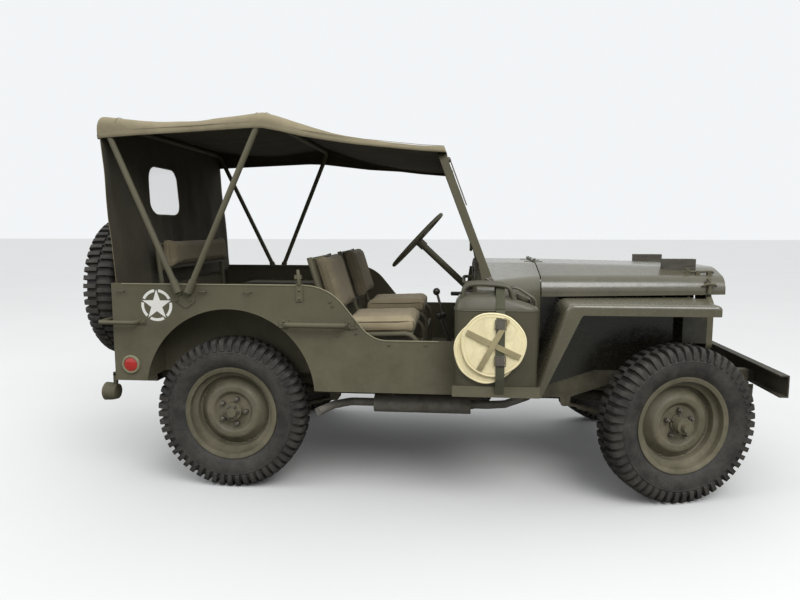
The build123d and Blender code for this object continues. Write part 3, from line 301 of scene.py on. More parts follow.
# Seat cushions: a lighter copy of the seat cloth, as painted light on them.
faded_cloth = woven("faded_cloth", shade(seat_tan, 1.55), fade=0.16)
bucket_cloth = woven("bucket_cloth", cream, pitch=0.0013, fade=0.12, sheen=0.05)
tan_web = woven("tan_webbing", web_tan, pitch=0.003)
green_web = woven("green_webbing", web_green, pitch=0.003)
dull_steel = steel("dull_steel", (0.2, 0.185, 0.16), 0.5)
rust_steel = steel("rust_steel", (0.2, 0.188, 0.16), 0.62, 0.35, 0.6)
mirror_steel = steel("mirror_steel", (0.82, 0.82, 0.8), 0.06, 1.0, 0.05)
dark_wood = timber("dark_wood", (0.05, 0.045, 0.032))
pane = clear("window_glass")
celluloid = clear("celluloid", (0.8, 0.78, 0.68), 0.1, 0.08)
lamp_lens = lens("lamp_lens", (0.78, 0.78, 0.74), 0.55, 0.8)
red_lens = lens("red_lens", (0.42, 0.022, 0.018), 1.0, 0.3)


# Mesh helpers

# degrees and metres
sharp_angle = 38
weld_distance = 0.00002


def turns(count, first=0.0):
    """Angles evenly round a circle, in radians; the first one is given in degrees."""
    return [math.radians(first) + 2 * math.pi * k / count for k in range(count)]


def polar(radius, turn):
    """The two coordinates of a point at an angle round a circle."""
    return radius * math.cos(turn), radius * math.sin(turn)


def about_y(radius, turn, y=0.0):
    """Point at an angle round an axle along Y."""
    return Vector((radius * math.cos(turn), y, radius * math.sin(turn)))


def hoop(centre, radius, count):
    """Points round a circle that faces along X."""
    return [Vector(centre) + Vector((0, *polar(radius, turn))) for turn in turns(count)]


def aside(distance):
    """A step along Y."""
    return outboard * distance


def shapes(count):
    """New empty shapes, one for each piece that a function builds side by side."""
    return [Shape() for _ in range(count)]


class Shape:
    """The vertices and faces of one piece while it is being built."""

    def __init__(self):
        self.verts = []
        self.faces = []

    def add(self, verts, faces):
        base = len(self.verts)
        self.verts.extend(Vector(v) for v in verts)
        self.faces.extend([base + i for i in face] for face in faces)

    def rings(self, rows, close=True, caps=True):
        """Quads between rows of points with equal counts; close joins each row's ends."""
        count = len(rows[0])
        verts = [p for row in rows for p in row]
        faces = []
        for start in range(0, (len(rows) - 1) * count, count):
            for i in range(count if close else count - 1):
                j = (i + 1) % count
                faces.append((start + i, start + j, start + count + j, start + count + i))
        if caps and close:
            faces.append(tuple(reversed(range(count))))
            last = (len(rows) - 1) * count
            faces.append(tuple(range(last, last + count)))
        self.add(verts, faces)

    def box(self, low, high):
        xs, ys, zs = zip(low, high)
        verts = [(x, y, z) for x in xs for y in ys for z in zs]
        faces = ((0, 1, 3, 2), (4, 6, 7, 5), (0, 4, 5, 1), (2, 3, 7, 6), (0, 2, 6, 4), (1, 5, 7, 3))
        self.add(verts, faces)

    def lathe(self, rows, origin, axis, segments=48):
        """Turned form: rows of (along the axis, radius)."""
        across, up, along = axes_from(axis)
        origin = Vector(origin)
        spokes = [across * math.cos(turn) + up * math.sin(turn) for turn in turns(segments)]
        self.rings([[origin + along * place + spoke * radius for spoke in spokes]
                    for place, radius in rows])

    def block(self, x, y, half_x, half_y, low, high):
        """Box about a place in the plan, between two heights."""
        self.box((x - half_x, y - half_y, low), (x + half_x, y + half_y, high))

    def bend(self, points, steps, radius, segments=8):
        """Round bar along a smooth line through a few points."""
        self.tube(curve_through(points, steps), radius, segments)

    def tube(self, points, radius, segments=8, loop=False):
        """Round bar along points; radius is one number or one for each point."""
        points = [Vector(p) for p in points]
        count = len(points)
        radii = radius if isinstance(radius, (list, tuple)) else [radius] * count
        across = None
        made = []
        for i, point in enumerate(points):
            before = points[i - 1] if (i or loop) else point
            after = points[(i + 1) % count] if (i < count - 1 or loop) else point
            along = (after - before).normalized()
            if across is None:
                across = axes_from(along)[0]
            across = (across - along * across.dot(along)).normalized()
            up = along.cross(across)
            spokes = [across * math.cos(turn) + up * math.sin(turn) for turn in turns(segments)]
            made.append([point + spoke * radii[i] for spoke in spokes])
        if loop:
            made.append(made[0])
        self.rings(made, caps=not loop)

    def prism(self, corners, origin, across, up, depth):
        """Flat outline of (across, up) corners, thickened by depth along across x up."""
        origin, across, up = Vector(origin), Vector(across), Vector(up)
        out = across.cross(up).normalized() * depth
        base = [origin + across * a + up * b for a, b in corners]
        self.rings([base, [p + out for p in base]])

    def bolt(self, origin, axis, radius, height=0.006):
        """Hexagon head on a thin washer."""
        self.lathe(((0, radius * 1.35), (0.0015, radius * 1.35)), origin, axis, 16)
        self.lathe(((0.0015, radius), (height, radius), (height + 0.001, radius * 0.8)), origin, axis, 6)

    def rivet(self, origin, axis, radius, height):
        self.lathe(((-0.001, radius), (0, radius), (height * 0.6, radius * 0.8), (height, radius * 0.35)),
                   origin, axis, 10)


def axes_from(axis):
    """Two directions square to an axis, and the axis itself."""
    along = Vector(axis).normalized()
    seed = upward if abs(along.z) < 0.9 else forward
    across = seed.cross(along).normalized()
    return across, along.cross(across), along


def new_object(name, data):
    obj = bpy.data.objects.new(name, data)
    scene.collection.objects.link(obj)
    return obj


def finish_mesh(mesh, angle):
    """Smooth shading, but for edges sharper than the angle in degrees."""
    mesh.shade_smooth()
    mesh.set_sharp_from_angle(angle=math.radians(angle))


def turn_faces(mesh, outward):
    """Make the faces of an open sheet look the given way."""
    facing = sum((f.normal * f.area for f in mesh.polygons), Vector()).dot(Vector(outward))
    if facing < 0:
        mesh.flip_normals()


def thicken(obj, depth, inner_shade=None):
    """Give a sheet its thickness behind the drawn face, with a darker inner face as painted shade."""
    made = obj.modifiers.new("thickness", "SOLIDIFY")
    made.thickness = depth
    made.offset = -1
    if inner_shade is not None:
        obj.data.materials.append(inner_shade)
        made.material_offset = 1


def piece(name, shape, material, body="chassis", bevel=0.0, matrix=None, angle=sharp_angle,
          outward=None):
    """Turn a shape into an object that rides on a body."""
    mesh = bpy.data.meshes.new(name)
    mesh.from_pydata([tuple(v) for v in shape.verts], [], shape.faces)
    mesh.validate()
    work = bmesh.new()
    work.from_mesh(mesh)
    bmesh.ops.remove_doubles(work, verts=work.verts, dist=weld_distance)
    bmesh.ops.recalc_face_normals(work, faces=work.faces)
    work.to_mesh(mesh)
    work.free()
    if matrix is not None:
        mesh.transform(matrix)
    if outward is not None:
        turn_faces(mesh, outward)
    finish_mesh(mesh, angle)
    obj = new_object(name, mesh)
    mesh.materials.append(material)
    if bevel:
        add_bevel(obj, bevel)
    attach(obj, body)
    return obj


def add_bevel(obj, width):
    made = obj.modifiers.new("edges", "BEVEL")
    made.width = width
    made.segments = 2
    made.limit_method = "ANGLE"
    made.angle_limit = math.radians(sharp_angle)
    made.use_clamp_overlap = True
    made.miter_outer = "MITER_ARC"


def curve_through(points, steps):
    """Smooth line through points (Catmull-Rom)."""
    points = [Vector(p) for p in points]
    ends = [points[0] * 2 - points[1]] + points + [points[-1] * 2 - points[-2]]
    line = []
    for i in range(1, len(ends) - 2):
        p0, p1, p2, p3 = ends[i - 1:i + 3]
        for k in range(steps):
            t = k / steps
            line.append(0.5 * (2 * p1 + (p2 - p0) * t + (2 * p0 - 5 * p1 + 4 * p2 - p3) * t * t
                               + (3 * p1 - p0 - 3 * p2 + p3) * t ** 3))
    line.append(points[-1])
    return line


def wrinkle(x, y, z, scale, depth):
    """Repeatable soft unevenness."""
    return noise.fractal(Vector((x, y, z)) * scale, 0.8, 2.0, 3) * depth


def dress(node_names, material, bevel):
    """Finish CAD nodes that are shown as they are; their names stand in one string."""
    for name in node_names.split():
        obj = nodes[name]
        if not obj.material_slots:
            obj.data.materials.append(material)
        for place in obj.material_slots:
            place.material = material
        finish_mesh(obj.data, 30)
        if bevel:
            add_bevel(obj, bevel)


# Tyres and wheels

# the radius and half width that the tyre's section is drawn for
drawn_radius = 0.359
drawn_half = 0.078
bead_radius = 0.2065
lug_count = 54
shoulder_low = 0.3
nut_circle = 0.0625
rivet_circle = 0.1665
disc_face = 0.0142


def tyre_shape():
    """Bar-tread tyre about the origin, axle along Y: a turned carcass and two rows of bars."""
    shape = Shape()
    # out from the middle and radius, from the bead over the side wall to the crown
    side_line = ((0.0505, bead_radius), (0.0555, 0.219), (0.058, 0.2262), (0.0655, 0.2345), (0.0725, 0.248),
                 (0.0765, 0.268), (0.0775, 0.285), (0.0768, 0.2925), (0.0778, 0.2935), (0.0778, 0.2965),
                 (0.075, 0.2995), (0.0705, 0.314), (0.0655, 0.3275), (0.057, 0.3375), (0.04, 0.341),
                 (0.0, 0.342))
    wide = tyre_half / drawn_half
    tall = tyre_radius / drawn_radius
    rows = [(-y * wide, r * tall) for y, r in side_line]
    rows += [(y * wide, r * tall) for y, r in reversed(side_line[:-1])]
    rows += [(0.036, bead_radius), (-0.036, bead_radius)]
    shape.rings([[about_y(r, turn, y) for turn in turns(192)] for y, r in rows + rows[:1]], caps=False)
    # bar section: outer line from the middle to the side wall, then the buried line back
    top = ((0.004, 0.359), (0.03, 0.359), (0.052, 0.358), (0.064, 0.3545), (0.0725, 0.347),
           (0.0768, 0.333), (0.0781, 0.316), (0.0781, shoulder_low + 0.004))
    under = ((0.0735, shoulder_low), (0.068, 0.313), (0.063, 0.326), (0.054, 0.335), (0.03, 0.338),
             (0.004, 0.338))
    # each point with the share of the pitch that it lies from the bar's middle
    section = [(y, r, 0.235 if y < 0.06 else 0.265) for y, r in top] + [(y, r, 0.295) for y, r in under]
    pitch = 2 * math.pi / lug_count
    for side in both_sides:
        for k in range(lug_count):
            middle = (k + 0.25 * side) * pitch
            shape.rings([[about_y(r, middle + edge * pitch * share, side * y) for y, r, share in section]
                         for edge in (-1, 1)])
    return shape


def wheel_nuts(count, *profiles):
    """Nuts on the disc of a wheel about the origin, outboard +Y, and the rivets of its rim."""
    nuts = Shape()
    for turn in turns(count, 90):
        for segments, rows in profiles:
            nuts.lathe(rows, about_y(nut_circle, turn, disc_face), outboard, segments)
    for turn in turns(8, 22.5):
        nuts.rivet(about_y(rivet_circle, turn, -0.0125), about_y(0.7, turn, 0.7), 0.008, 0.005)
    return nuts


def wheel_fittings(front):
    """Nuts, rivets, hub bolts and valve."""
    nuts = wheel_nuts(5, (20, ((-0.002, 0.013), (0.003, 0.0118))),
                      (6, ((0.003, 0.0106), (0.017, 0.0106), (0.019, 0.008))),
                      (12, ((0.019, 0.0068), (0.026, 0.0065), (0.027, 0.005))))
    reach, hub_face = (0.0385, 0.025) if front else (0.03, 0.039)
    for turn in turns(6, 30):
        nuts.bolt(about_y(reach, turn, hub_face), outboard, 0.006, 0.007)
    valve_turn = math.radians(290)
    nuts.tube((about_y(0.18, valve_turn, -0.018), about_y(0.176, valve_turn, 0.012)), 0.004)
    return nuts


def spare_nuts():
    """The three nuts that hold the spare wheel, and its rivets."""
    return wheel_nuts(3, (20, ((-0.002, 0.0125), (0.004, 0.0115))),
                      (6, ((0.004, 0.0115), (0.018, 0.0115), (0.02, 0.008))))


def wheel_matrix(place, axis, side):
    """From a wheel about the origin, outboard +Y, to its place; side is -1 on the right."""
    turn = outboard.rotation_difference(Vector(axis).normalized() * side).to_matrix().to_4x4()
    return Matrix.Translation(Vector(place)) @ turn


def build_tyre(name, replaced, matrix, body="chassis"):
    """Treaded tyre in place of the plain CAD one."""
    tread = piece("tread_" + name, tyre_shape(), tyre_rubber, body, matrix=matrix, angle=32)
    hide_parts(replaced)


def build_wheels():
    for name in wheel_names:
        joint = joints[name + "_spin"]
        matrix = wheel_matrix(joint["pos_m"], joint["axis"], 1 if "left" in name else -1)
        body = name + "_wheel"
        build_tyre(name, "tyre_" + name, matrix, body)
        piece("wheel_fittings_" + name, wheel_fittings("front" in name), dull_steel, body,
              matrix=matrix)
    low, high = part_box("spare_tyre")
    matrix = wheel_matrix((low + high) / 2, -forward, 1)
    build_tyre("spare", "spare_tyre", matrix)
    piece("spare_nuts", spare_nuts(), dull_steel, matrix=matrix)


# Canvas top

# rows of (ahead of the rear axle, height)
roof_line = ((-0.566, 1.7), (-0.5645, 1.722), (-0.553, 1.7355), (-0.53, 1.7355), (-0.473, 1.729),
             (-0.331, 1.714), (-0.2, 1.711), (-0.096, 1.7125), (0.0, 1.7235), (0.136, 1.738),
             (0.191, 1.744), (0.215, 1.7405), (0.271, 1.7245), (0.361, 1.6945), (0.451, 1.667),
             (0.541, 1.644), (0.63, 1.6262), (0.719, 1.612), (0.808, 1.6), (0.896, 1.5915),
             (0.96, 1.5885), (0.995, 1.587), (1.003, 1.585))
near_hem = ((-0.566, 1.637), (-0.455, 1.645), (-0.313, 1.652), (-0.081, 1.662), (0.011, 1.667),
            (0.148, 1.6735), (0.202, 1.673), (0.283, 1.657), (0.372, 1.636), (0.461, 1.62), (0.549, 1.606),
            (0.637, 1.594), (0.725, 1.585), (0.812, 1.575), (0.899, 1.566), (1.003, 1.559))
far_hem = ((-0.566, 1.628), (-0.418, 1.634), (-0.14, 1.645), (0.065, 1.653), (0.167, 1.6495),
           (0.302, 1.633), (0.47, 1.613), (0.67, 1.6), (0.808, 1.583), (0.947, 1.571), (1.003, 1.566))
bow_places = (-0.546, 0.19, 1.0)
cross_seams = (-0.5, 0.19, 0.95)
long_seams = (-0.36, 0.36)
roof_columns = 150
roof_sag = 0.01
roof_fold = 0.01
roof_corner = 0.04
# canvas in the two end flaps, and how far below the ridge a flap still starts
flap_start = 0.046
seam_radius = 0.001


def linear_table(table, x):
    """Value at x from rows of (x, value)."""
    if x <= table[0][0]:
        return table[0][1]
    for (x0, v0), (x1, v1) in zip(table, table[1:]):
        if x <= x1:
            return v0 + (v1 - v0) * (x - x0) / (x1 - x0)
    return table[-1][1]


def roof_point(x, z, across, half, hem):
    """Point on the roof sheet; across runs from -1 to 1, hem to hem."""
    drop = max(z - hem, 0.012)
    corner = min(roof_corner, 0.8 * drop)
    flat = half - corner
    bend = corner * math.pi / 2
    reach = abs(across) * (flat + bend + drop - corner)
    side = side_of(across)
    if reach <= flat:
        return Vector((x, side * reach, z))
    if reach <= flat + bend:
        turn = (reach - flat) / corner
        return Vector((x, side * (flat + corner * math.sin(turn)), z - corner * (1 - math.cos(turn))))
    return Vector((x, side * half, z - corner - (reach - flat - bend)))


def hem_height(x, side):
    """Height of the hem; the far side of the top sits a little differently, as in the photograph."""
    return linear_table(near_hem if side < 0 else far_hem, x)


def build_roof():
    """Canvas over the bows, sagging and wavy between them, with a flap at each end."""
    shape = Shape()
    half = roof_high.y - 0.001
    line = curve_through([(x, 0, z) for x, z in roof_line], 6)
    rows = []
    for p in line:
        x, z = p.x, p.z
        nearest = min(abs(x - b) for b in bow_places)
        row = []
        for k in range(roof_columns + 1):
            across = -1 + 2 * k / roof_columns
            hem = hem_height(x, side_of(across))
            point = roof_point(at(x), z, across, half, hem)
            middle = max(0.0, 1 - (point.y / 0.66) ** 2)
            sag = -roof_sag * middle * min(1.0, nearest / 0.3)
            fold = wrinkle(point.x, point.y * 0.35, 0, 3.2, roof_fold) * min(1.0, nearest / 0.12)
            cross = wrinkle(point.x * 0.6, point.y, 7.1, 7.0, 0.004)
            if abs(point.y) < half - 0.02:
                point.z += min(sag + fold * (0.35 + 0.65 * middle) + cross * middle, 0.004)
            else:
                low = 1 - (point.z - hem) / 0.09
                wave = wrinkle(point.x, 0, side_of(point.y) * 3.0, 5.5, 0.006)
                point.y -= side_of(point.y) * (0.003 + abs(wave)) * max(0.0, min(1.0, low))
            row.append(point)
        rows.append(row)
    shape.rings(rows, close=False)
    # rear flap over the curtain and front flap over the windshield: row, foot ahead of the axle, height
    for index, x_low, z_low in ((0, -0.5655, 1.634), (-1, 1.0135, 1.558)):
        limit = rows[index][roof_columns // 2].z - flap_start
        top = [p for p in rows[index] if abs(p.y) <= half + 1e-6 and p.z > limit]
        flap = [top]
        for step in (0.5, 1.0):
            flap.append([p.lerp(Vector((at(x_low), p.y, z_low)), step) for p in top])
        shape.rings(flap, close=False)
    roof = piece("canvas_roof", shape, canvas, angle=60, outward=(0, 0, 1))
    # The roof's underside takes the darker canvas as painted shade.
    thicken(roof, 0.0022, canvas_inside)
    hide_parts("canvas_top")
    return rows


def side_of(value):
    """1 on the left and in the middle, -1 on the right."""
    return 1 if value >= 0 else -1


def build_hems(rows):
    """Rolled hem cord with its stitching, and seam ridges along the top and over the bows."""
    hem = Shape()
    for column in (0, -1):
        # how far out, how far up, radius, segments: the cord and its stitching
        for out, up, radius, segments in ((-0.002, 0.002, 0.0034, 8), (0.0004, 0.026, 0.0011, 6)):
            edge = [row[column] + Vector((0, side_of(row[column].y) * out, up)) for row in rows]
            hem.tube(edge, radius, segments)
    piece("roof_hem", hem, canvas_dark)
    seams = Shape()
    for y_place in long_seams:
        for gap in (-0.006, 0.006):
            nearest = [min(row, key=lambda p: abs(p.y - y_place)) for row in rows[3:-2]]
            seams.tube([Vector((p.x, y_place + gap, p.z + 0.0006)) for p in nearest], seam_radius, 6)
    for x_place in cross_seams:
        row = min(rows, key=lambda r: abs(r[0].x - at(x_place)))
        for gap in (-0.022, 0.022):
            seams.tube([p + Vector((gap, 0, 0.0006)) for p in row[6:-6:2]], seam_radius, 6)
    piece("roof_seams", seams, canvas_dark)


# Rear curtain

# ahead of the rear axle, height
curtain_foot = (-0.509, 0.942)
curtain_head = (-0.5595, 1.705)
# across from the middle plane, height
window_middle = (-0.12, 1.43)
window_half = (0.165, 0.125)
window_corner = 0.07
curtain_seams = (-0.44, 0.44)
# depths of the hollow, of the wrinkles and of the ripples near the foot
curtain_hollow = 0.01
curtain_wrinkle = 0.012
curtain_ripple = 0.004


def curtain_point(y, z):
    """Point of the slanting curtain, a little hollow and rippled."""
    share = (z - curtain_foot[1]) / (curtain_head[1] - curtain_foot[1])
    x = at(curtain_foot[0] + (curtain_head[0] - curtain_foot[0]) * share)
    free = max(0.0, math.sin(math.pi * min(1.0, max(0.0, share))))
    x -= curtain_hollow * free * (1 - (y / 0.73) ** 2)
    x += wrinkle(y, z * 0.35, 2.0, 5.0, curtain_wrinkle) * free
    x += curtain_ripple * math.sin(y * 46) * max(0.0, 1 - share * 1.7) * free
    return Vector((x, y, z))


def rounded_box(half_y, half_z, radius, count):
    """Points round a rounded rectangle, evenly by angle step."""
    points = []
    for i in range(count):
        turn = 2 * math.pi * (i + 0.5) / count
        direction = Vector((math.cos(turn), math.sin(turn)))
        reach = min(half_y / max(abs(direction.x), 1e-6), half_z / max(abs(direction.y), 1e-6))
        point = direction * reach
        inner = Vector((max(-half_y + radius, min(half_y - radius, point.x)),
                        max(-half_z + radius, min(half_z - radius, point.y))))
        away = point - inner
        if away.length > 1e-9:
            point = inner + away.normalized() * min(radius, away.length)
        points.append(point)
    return points


def window_ring(offset, radius, count):
    """Points on the curtain round its window, an offset outside the opening."""
    ring = rounded_box(window_half[0] + offset, window_half[1] + offset, radius, count)
    return [curtain_point(window_middle[0] + p.x, window_middle[1] + p.y) for p in ring]


def build_curtain():
    """Rear curtain as rings from its window out to its edges."""
    half = roof_high.y - 0.0048
    count = 240
    layers = 34
    inner = rounded_box(*window_half, window_corner, count)
    centre = Vector(window_middle)
    foot, head = curtain_foot[1], curtain_head[1]
    rows = []
    for layer in range(layers + 1):
        share = (layer / layers) ** 1.15
        row = []
        for i in range(count):
            start = centre + inner[i]
            direction = inner[i].normalized()
            side_limit = half if direction.x > 0 else -half
            reach_y = (side_limit - centre.x) / direction.x if abs(direction.x) > 1e-6 else 9
            end_z = head if direction.y > 0 else foot
            reach_z = (end_z - centre.y) / direction.y if abs(direction.y) > 1e-6 else 9
            end = centre + direction * min(reach_y, reach_z)
            flat = start + (end - start) * share
            row.append(curtain_point(flat.x, flat.y))
        rows.append(row)
    shape = Shape()
    shape.rings(rows, caps=False)
    curtain = piece("canvas_curtain", shape, canvas, angle=60, outward=(-1, 0, 0))
    # The curtain's inner face takes the darker canvas as painted shade.
    thicken(curtain, 0.002, canvas_inside)
    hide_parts("canvas_rear")
    border = Shape()
    for offset, thickness in ((0.004, 0.003), (0.024, 0.0012), (0.03, 0.0012)):
        border.tube(window_ring(offset, window_corner + offset, 120), thickness, loop=True)
    for y in curtain_seams:
        for gap in (-0.006, 0.006):
            line = [curtain_point(y + gap, foot + 0.03 + (head - foot - 0.05) * k / 40) for k in range(41)]
            border.tube(line, 0.0014, 6)
    piece("curtain_seams", border, canvas_dark)
    glass = Shape()
    front = [p + forward * 0.0004 for p in window_ring(0.01, 0.075, 72)]
    glass.rings([front, [p + forward * 0.0006 for p in front]])
    piece("curtain_window", glass, celluloid)


# Seat pads

# how far the block is drawn in before it is blown up, the grid it is cut into, the piping's radius
pad_inset = 0.01
pad_grid = 0.011
piping_radius = 0.0032


def pad_mesh(corners, y_low, y_high):
    """Closed block from a four-corner side outline."""
    mesh = bpy.data.meshes.new("pad")
    work = bmesh.new()
    near = [work.verts.new((x, y_low, z)) for x, z in corners]
    far = [work.verts.new((x, y_high, z)) for x, z in corners]
    work.faces.new(near)
    work.faces.new(list(reversed(far)))
    for i in range(4):
        j = (i + 1) % 4
        work.faces.new((near[j], near[i], far[i], far[j]))
    bmesh.ops.recalc_face_normals(work, faces=work.faces)
    work.to_mesh(mesh)
    work.free()
    return mesh


def evaluated_copy(obj):
    depsgraph = bpy.context.evaluated_depsgraph_get()
    return bpy.data.meshes.new_from_object(obj.evaluated_get(depsgraph))


def build_pad(name, corners, y_low, y_high, cap):
    """Cushion blown up a little as cloth, then piped along its edges."""
    corners = [Vector(c) for c in corners]
    middle = sum(corners, Vector((0, 0))) / 4
    inner = [c + (middle - c).normalized() * pad_inset for c in corners]
    obj = new_object(name, pad_mesh(inner, y_low + 0.006, y_high - 0.006))
    grid = obj.modifiers.new("grid", "REMESH")
    grid.mode = "VOXEL"
    grid.voxel_size = pad_grid
    rounded = obj.modifiers.new("round", "SMOOTH")
    rounded.iterations = 10
    obj.data = evaluated_copy(obj)
    obj.modifiers.clear()
    inflate(obj, cap)
    soft = obj.modifiers.new("soft", "SUBSURF")
    soft.levels = 1
    soft.render_levels = 1
    obj.data = evaluated_copy(obj)
    obj.modifiers.clear()
    obj.data.materials.clear()
    # Cushions take the lighter cloth as painted light.
    obj.data.materials.append(faded_cloth if "cushion" in name else seat_cloth)
    obj.data.shade_smooth()
    piping = Shape()
    for y in (y_low, y_high):
        loop = []
        for a, b in zip(corners, corners[1:] + corners[:1]):
            for k in range(10):
                x, z = a + (b - a) * k / 10
                loop.append(obj.closest_point_on_mesh(Vector((x, y, z)))[1])
        piping.tube(smooth_loop(loop), piping_radius, loop=True)
    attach(obj, "chassis")
    piece(name + "_piping", piping, canvas_dark)
    return obj


def smooth_loop(points):
    """A closed line, averaged with its neighbours four times over."""
    for _ in range(4):
        behind = points[-1:] + points[:-1]
        ahead = points[1:] + points[:1]
        points = [(a + b * 2 + c) / 4 for a, b, c in zip(behind, points, ahead)]
    return points


def inflate(obj, cap):
    """Cloth run under light pressure, with each point's travel capped."""
    rest = [v.co.copy() for v in obj.data.vertices]
    cloth = obj.modifiers.new("cloth", "CLOTH")
    settings = cloth.settings
    settings.quality = 4
    settings.mass = 0.3
    settings.use_pressure = True
    settings.uniform_pressure_force = 4.0
    settings.tension_stiffness = 15
    settings.effector_weights.gravity = 0
    cloth.collision_settings.use_collision = False
    scene.frame_set(1)
    for step in range(2, 15):
        scene.frame_set(step)
    moved = evaluated_copy(obj)
    obj.modifiers.clear()
    for vertex, start, end in zip(obj.data.vertices, rest, moved.vertices):
        shift = end.co - start
        if shift.length > cap:
            shift = shift.normalized() * cap
        vertex.co = start + shift
    scene.frame_set(1)


def build_seats():
    """Cushion and back of the two front seats and of the rear bench."""
    cushion = ((0.5, 0.731), (0.5, 0.794), (0.888, 0.808), (0.888, 0.746))
    back = ((0.466, 0.812), (0.376, 1.106), (0.434, 1.114), (0.524, 0.824))
    bench = ((-0.404, 0.747), (-0.404, 0.826), (-0.137, 0.842), (-0.137, 0.765))
    bench_back = ((-0.44, 1.022), (-0.453, 1.186), (-0.402, 1.186), (-0.389, 1.022))
    # name, side outline, middle and half of the width, farthest travel of the cloth
    rows = (
        ("seat_cushion_right", cushion, -0.37, 0.206, 0.014),
        ("seat_back_right", back, -0.37, 0.206, 0.014),
        ("seat_cushion_left", cushion, 0.37, 0.206, 0.014),
        ("seat_back_left", back, 0.37, 0.206, 0.014),
        ("bench_cushion", bench, 0.0, 0.398, 0.014),
        ("bench_back", bench_back, 0.0, 0.398, 0.012),
    )
    for name, corners, y, half, cap in rows:
        pad = build_pad(name, [(at(x), z) for x, z in corners], y - half, y + half, cap)
    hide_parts("seat_pads")


# Fuel can, its strap and the folded bucket

can_corner = 0.036
webbing_depth = 0.0022
web_width = 0.023
strap_width = 0.036
# from the middle of the CAD bucket to that of the front disc, and the share of the bucket's half
# width that the discs' radii are worked out from
bucket_shift = Vector((-0.01, 0, 0.0145))
bucket_share = 0.935


def build_can():
    """Pressed steel can: body with a sloping shoulder, three grips, clamped spout and two seams."""
    x0, x1 = can_low.x, can_high.x
    mid_y = (can_low.y + can_high.y) / 2
    z0 = can_low.z
    depth = can_high.y - can_low.y

    def level(height, rear_in, front_in, face_in):
        """The can's outline at a height, drawn in from its rear, its front and both faces."""
        half_x = (x1 - x0 - rear_in - front_in) / 2
        half_y = depth / 2 - face_in
        middle = Vector(((x0 + x1 + rear_in - front_in) / 2, mid_y, z0 + height))
        outline = rounded_box(half_x, half_y, min(can_corner, half_y * 0.9), 72)
        return [middle + Vector((*p, 0)) for p in outline]

    shape = Shape()
    # rows from the base up to the middle of the top
    shape.rings([level(*row) for row in (
        (0.0, 0.016, 0.016, 0.012), (0.006, 0.006, 0.006, 0.004), (0.02, 0.0, 0.0, 0.0),
        (0.35, 0.0, 0.0, 0.0), (0.358, -0.001, -0.001, -0.001), (0.364, 0.0, 0.0, 0.0),
        (0.372, 0.001, 0.01, 0.002), (0.392, 0.006, 0.06, 0.01), (0.408, 0.018, 0.12, 0.018),
        (0.418, 0.034, 0.17, 0.028), (0.42, 0.06, 0.2, 0.04))])
    can = piece("can_body", shape, can_paint, angle=50)
    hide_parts("jerrycan")
    # each grip: ahead of the can's rear and height above its base
    grip = ((0.03, 0.395), (0.042, 0.445), (0.08, 0.461), (0.19, 0.457), (0.228, 0.439), (0.245, 0.379))
    extras = Shape()
    for y in (-0.052, 0.0, 0.052):
        extras.bend([(x0 + x, mid_y + y, z0 + z) for x, z in grip], 6, 0.0085, 10)
    extras.lathe(((-0.03, 0.026), (0.0, 0.026), (0.004, 0.031), (0.016, 0.032), (0.022, 0.024)),
                 (x1 - 0.062, mid_y, z0 + 0.392), (0.45, 0, 1), 24)
    # clamp of the spout: behind the can's front and height above its base
    clamp = ((0.125, 0.44), (0.09, 0.446), (0.04, 0.418), (0.014, 0.398), (0.008, 0.374))
    for y in (-0.034, 0.034):
        extras.bend([(x1 - x, mid_y + y, z0 + z) for x, z in clamp], 5, 0.0048)
    extras.tube([(x1 - 0.016, mid_y + y, z0 + 0.398) for y in (-0.036, 0.036)], 0.0065, 10)
    extras.block(x1 - 0.018, mid_y, 0.012, 0.026, z0 + 0.372, z0 + 0.388)
    piece("can_grips", extras, can_paint)
    seam = Shape()
    for height in (0.356, 0.022):
        seam.tube(level(height, -0.0006, -0.0006, -0.0006), 0.0022, 6, loop=True)
    piece("can_seam", seam, can_paint)


def strap_shape(points, width, thickness, across):
    """Flat webbing along points; across is its width direction."""
    shape = Shape()
    points = [Vector(p) for p in points]
    across = Vector(across).normalized() * width / 2
    rows = []
    for i, point in enumerate(points):
        before = points[max(i - 1, 0)]
        after = points[min(i + 1, len(points) - 1)]
        out = (after - before).cross(across).normalized() * thickness / 2
        under, over = point - out, point + out
        rows.append([under - across, under + across, over + across, over - across])
    shape.rings(rows)
    return shape


